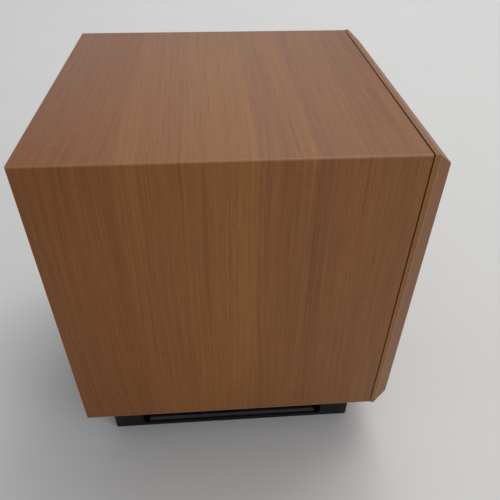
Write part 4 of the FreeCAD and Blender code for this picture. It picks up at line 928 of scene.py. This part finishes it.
# pressed paper cone with a curved flank and pressed rings
def buildCone(bm):
    setup = coneSetup
    low, high = nodeBox("cone")
    outer = (high.x - driverAxis.x) / mm
    neck = (nodeBox("coil_former")[1].x - driverAxis.x) / mm
    edge = (low.z - driverAxis.z) / mm
    rise = (high.z - low.z) / mm - setup["thickness"] * 1.6
    rim = outer - setup["rim"]
    under = [(outer, edge), (rim, edge)]
    for step in range(1, setup["points"] + 1):
        share = step / setup["points"]
        fade = math.sin(math.pi * share)
        rib = setup["ribHeight"] * fade * math.cos(2 * math.pi * setup["ribs"] * share)
        under.append((rim - share * (rim - neck), edge + share * rise - setup["bow"] * fade + rib))
    over = [(r, z + setup["thickness"]) for r, z in under]
    line = [(r * mm, z * mm) for r, z in under + over[::-1]]
    spinLine(bm, line, driverAxis, setup["steps"], close=True)


waddingSetup = {
    "cuts": 28,
    "smoothing": 6,
    "lump": 3.2,                                # height and size of the lumps, then of the fluff, mm
    "lumpSize": 26.0,
    "fluff": 0.9,
    "fluffSize": 6.0,
}


# quilted wadding pad: a crowned block with soft edges and an uneven, woolly face
def buildWadding(bm):
    setup = waddingSetup
    low, high = nodeBox("damping_wadding")
    middle, half = (low + high) / 2, (high - low) / 2
    bmesh.ops.create_cube(bm, size=2.0)
    bmesh.ops.subdivide_edges(bm, edges=bm.edges, cuts=setup["cuts"], use_grid_fill=True)
    room = (setup["lump"] + setup["fluff"]) * mm
    for vert in bm.verts:
        vert.co = Vector([vert.co[axis] * (half[axis] - room) for axis in range(3)])
    for _ in range(setup["smoothing"]):
        bmesh.ops.smooth_vert(bm, verts=bm.verts, factor=0.5,
                              use_axis_x=True, use_axis_y=True, use_axis_z=True)
    bm.normal_update()
    for vert in bm.verts:
        spot = vert.co / mm
        swell = setup["lump"] * noise.noise(spot / setup["lumpSize"])
        swell += setup["fluff"] * noise.noise(spot / setup["fluffSize"])
        vert.co += vert.normal * swell * mm
    bmesh.ops.translate(bm, verts=bm.verts, vec=middle)


tinselSetup = {
    "radius": 0.7,
    "spacing": 28.0,
    "landing": 44.0,                            # from the driver's axis, mm
    "coneLift": 1.5,                            # above the lowest point of the leads' room
    "frameDrop": 1.2,                           # below its highest point
    "sag": 3.5,
    "pointsAt": (0, 0.2, 0.5, 0.8, 1),          # shares of the way from cone to frame
}


# two braided leads that sag between the terminal strip and the cone
def addTinsel(material):
    setup = tinselSetup
    low, high = nodeBox("tinsel_leads")
    for side in (-1, 1):
        x = driverAxis.x + side * setup["spacing"] / 2 * mm
        coneEnd = Vector((x, driverAxis.y + setup["landing"] * mm, low.z + setup["coneLift"] * mm))
        frameEnd = Vector((x, high.y, high.z - setup["frameDrop"] * mm))
        curve = bpy.data.curves.new("tinselPath", "CURVE")
        curve.dimensions = "3D"
        curve.bevel_depth = setup["radius"] * mm
        curve.bevel_resolution = 3
        curve.resolution_u = 8
        curve.use_fill_caps = True
        spline = curve.splines.new("NURBS")
        spline.points.add(len(setup["pointsAt"]) - 1)
        for point, share in zip(spline.points, setup["pointsAt"]):
            spot = coneEnd.lerp(frameEnd, share)
            spot.z -= setup["sag"] * mm * math.sin(math.pi * share)
            point.co = (*spot, 1)
        spline.order_u = 3
        spline.use_endpoint_u = True
        path = bpy.data.objects.new("tinselPath", curve)
        mesh = bpy.data.meshes.new_from_object(path)
        bpy.data.objects.remove(path)
        bpy.data.curves.remove(curve)
        piece = placeMesh("tinselLeft" if side < 0 else "tinselRight", mesh, None, material)
        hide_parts("tinsel_leads")
        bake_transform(piece)


# places something drawn flat, with x to the right and y up the plate, at a spot on the plate's face
def onPlate(x, level, turn=0.0):
    face = Matrix(((1, 0, 0), (0, 0, 1), (0, 1, 0))).to_4x4()
    spot = Matrix.Translation((plateMiddle.x + x, plateMiddle.y, plateMiddle.z + level))
    return spot @ Matrix.Rotation(turn, 4, "Y") @ face


def levelOf(name):
    spot = middleOf(name)
    return spot.x - plateMiddle.x, spot.z - plateMiddle.z


# thin raised bar of printed ink, lying on the local xy plane
def addBar(bm, place, width, length, height, along=0.0):
    made = bmesh.ops.create_cube(bm, size=1.0)["verts"]
    bmesh.ops.scale(bm, vec=(width, length, height), verts=made)
    bmesh.ops.translate(bm, vec=(0, along + length / 2, height / 2), verts=made)
    bmesh.ops.transform(bm, matrix=place, verts=made)


def addRing(bm, place, inner, outer, height, steps=48):
    circle = bmesh.ops.create_circle(bm, segments=steps, radius=outer, cap_ends=False)["verts"]
    hole = bmesh.ops.create_circle(bm, segments=steps, radius=inner, cap_ends=False)["verts"]
    edges = list({edge for vert in circle + hole for edge in vert.link_edges})
    faces = bmesh.ops.bridge_loops(bm, edges=edges)["faces"]
    raised = bmesh.ops.extrude_face_region(bm, geom=faces)["geom"]
    top = [item for item in raised if isinstance(item, bmesh.types.BMVert)]
    bmesh.ops.translate(bm, vec=(0, 0, height), verts=top)
    bmesh.ops.transform(bm, matrix=place, verts=circle + hole + top)


printSetup = {
    "height": 0.12,                             # ink above the plate, mm
    "dialInner": 9.6,
    "dialLong": 2.4,
    "dialShort": 1.5,
    "dialWidth": 0.5,
    "dialSteps": 10,
    "dialTurn": 150.0,                          # degrees each way
    "dialLongEvery": 5,
    "frameLine": 0.45,
    "frameMargin": 4.0,
    "frameCorner": 3.0,
    "frames": (                                 # what each outline holds, and the room for its marks
        (("level_knob", "crossover_knob", "slide_switches", "status_lens"), 6.5),
        (("line_sockets",), 3.0),
        (("rocker_frame", "fuse_holder", "mains_inlet"), 0.0),
    ),
    "socketInner": 6.5,
    "socketOuter": 7.7,
}


def buildDials(bm):
    setup = printSetup
    for name in ("level_knob", "crossover_knob"):
        x, level = levelOf(name)
        for step in range(setup["dialSteps"] + 1):
            turn = math.radians(setup["dialTurn"]) * (2 * step / setup["dialSteps"] - 1)
            length = setup["dialShort"] if step % setup["dialLongEvery"] else setup["dialLong"]
            addBar(bm, onPlate(x, level, turn), setup["dialWidth"] * mm, length * mm,
                   setup["height"] * mm, setup["dialInner"] * mm)


# printed outlines that group the controls, the inputs and the power row
def buildFrames(bm):
    setup = printSetup
    for names, room in setup["frames"]:
        boxes = [nodeBox(name) for name in names]
        margin = (setup["frameMargin"] + room) * mm
        left = min(low.x for low, high in boxes) - margin
        right = max(high.x for low, high in boxes) + margin
        bottom = min(low.z for low, high in boxes) - margin
        top = max(high.z for low, high in boxes) + margin
        sheet = bmesh.ops.create_grid(bm, x_segments=1, y_segments=1, size=0.5)["verts"]
        bmesh.ops.scale(bm, vec=(right - left, top - bottom, 1), verts=sheet)
        bmesh.ops.bevel(bm, geom=sheet, offset=setup["frameCorner"] * mm, offset_type="OFFSET",
                        segments=5, profile=0.5, affect="VERTICES", material=-1)
        face = [face for face in bm.faces if len(face.verts) > 8]     # the rounded sheet
        band = bmesh.ops.inset_region(bm, faces=face, thickness=setup["frameLine"] * mm,
                                      use_boundary=True, use_even_offset=True)["faces"]
        bmesh.ops.delete(bm, geom=face, context="FACES")
        raised = bmesh.ops.extrude_face_region(bm, geom=band)["geom"]
        up = [item for item in raised if isinstance(item, bmesh.types.BMVert)]
        bmesh.ops.translate(bm, vec=(0, 0, setup["height"] * mm), verts=up)
        verts = list({vert for face in band for vert in face.verts}) + up
        place = onPlate((left + right) / 2 - plateMiddle.x, (bottom + top) / 2 - plateMiddle.z)
        bmesh.ops.transform(bm, matrix=place, verts=verts)


def socketCentres():
    low, high = nodeBox("line_sockets")
    half = (high.z - low.z) / 2
    level = (low.z + high.z) / 2 - plateMiddle.z
    return [(x - plateMiddle.x, level) for x in (low.x + half, (low.x + high.x) / 2, high.x - half)]


def addSocketRings():
    height = printSetup["height"] * mm
    inner, outer = printSetup["socketInner"] * mm, printSetup["socketOuter"] * mm
    rings = (("White", "printWhite", "socket_insert"), ("Red", "ringRed", "lead_red"),
             ("Mono", "printWhite", "socket_insert"))
    for (label, finishName, slotName), (x, level) in zip(rings, socketCentres()):
        newPiece("socketRing" + label, "cabinet", made[finishName],
                 lambda bm: addRing(bm, onPlate(x, level), inner, outer, height))


pointerSetup = {"width": 0.8, "start": 0.6, "length": 4.4, "depth": 0.5, "below": 0.15}


def addPointers():
    setup = pointerSetup
    for name, label in (("level_knob", "levelPointer"), ("crossover_knob", "crossoverPointer")):
        x, level = levelOf(name)
        face = nodeBox(name)[1].y - plateMiddle.y - (setup["below"] + setup["depth"]) * mm
        place = Matrix.Translation((0, face, 0)) @ onPlate(x, level)
        newPiece(label, name, made["printWhite"],
                 lambda bm: addBar(bm, place, setup["width"] * mm, setup["length"] * mm,
                                   setup["depth"] * mm, setup["start"] * mm))


rockerSetup = {
    "pivot": 4.0,                               # below the plate's face, mm
    "tilt": 7.0,                                # degrees at rest
    "middle": 5.4,                              # dip of the rocker above its pivot
    "slope": 10.7,                              # degrees of each lobe
    "along": 3.9,
    "bar": (0.6, 3.0),
    "ring": (1.15, 1.7),
    "ringSteps": 32,
    "height": 0.1,
}


# on and off marks, a bar and a ring, raised on the two lobes
def buildRockerMarks(bm):
    setup = rockerSetup
    x, level = levelOf("power_rocker")
    base = onPlate(x, levelOf("rocker_frame")[1])
    base = base @ Matrix.Translation((0, 0, -setup["pivot"] * mm))
    base = base @ Matrix.Rotation(math.radians(setup["tilt"]), 4, "X")
    rise = setup["middle"] + setup["along"] * math.tan(math.radians(setup["slope"]))
    for side in (1, -1):
        lobe = base @ Matrix.Translation((0, side * setup["along"] * mm, rise * mm))
        lobe = lobe @ Matrix.Rotation(math.radians(side * setup["slope"]), 4, "X")
        if side > 0:
            width, length = setup["bar"]
            addBar(bm, lobe, width * mm, length * mm, setup["height"] * mm, -length / 2 * mm)
        else:
            inner, outer = setup["ring"]
            addRing(bm, lobe, inner * mm, outer * mm, setup["height"] * mm, setup["ringSteps"])


def addPieces():
    rollLine, coneRadius, frameRadius = surroundLine()
    setup = surroundSetup
    makeSectors("surroundSector", rollLine, setup["sectors"], setup["stepsEach"], made["rollRubber"],
                "surround")
    clothLine, first, last = spiderLine()
    setup = spiderSetup
    makeSectors("spiderSector", clothLine, setup["sectors"], setup["stepsEach"], clothMaterial(),
                "spider")
    print("surround and spider made")
    paper = paperMaterial("conePaper", paperSetup["coneRoughness"])
    cone = newPiece("paperCone", "cone_assembly", paper, buildCone)
    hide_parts("cone")
    addTinsel(windingMaterial("tinselBraid"))
    print("cone and leads made")
    wadding = newPiece("dampingWadding", "cabinet", woolMaterial(), buildWadding)
    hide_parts("damping_wadding")
    print("wadding made")
    newPiece("dialMarks", "cabinet", made["printWhite"], buildDials)
    newPiece("groupOutlines", "cabinet", made["printWhite"], buildFrames)
    newPiece("rockerMarks", "power_rocker", made["printWhite"], buildRockerMarks)
    addSocketRings()
    addPointers()
    print("plate markings made")


floorSetup = {
    "half": 9.0,
    "light": (0.73, 0.73, 0.72, 1),
    "dark": (0.69, 0.69, 0.675, 1),
    "clouds": 3.0,
    "fixed": {"Roughness": 0.75},
}


def addFloor():
    setup = floorSetup
    bm = bmesh.new()
    bmesh.ops.create_grid(bm, x_segments=1, y_segments=1, size=setup["half"])
    mesh = bpy.data.meshes.new("floor")
    bm.to_mesh(mesh)
    bm.free()
    floor = bpy.data.objects.new("floor", mesh)
    bpy.context.scene.collection.objects.link(floor)
    material, tree, shader, place = newMaterial("paleFloor", **setup["fixed"])
    clouds = noiseAt(tree, place, setup["clouds"], 3.0)
    joinColor(tree, shader, clouds, setup)
    floor.data.materials.append(material)


addCamera()
addLights()
print("camera and lights set")
dressNodes()
print("CAD nodes dressed")
addPieces()
addFloor()
print("floor laid")
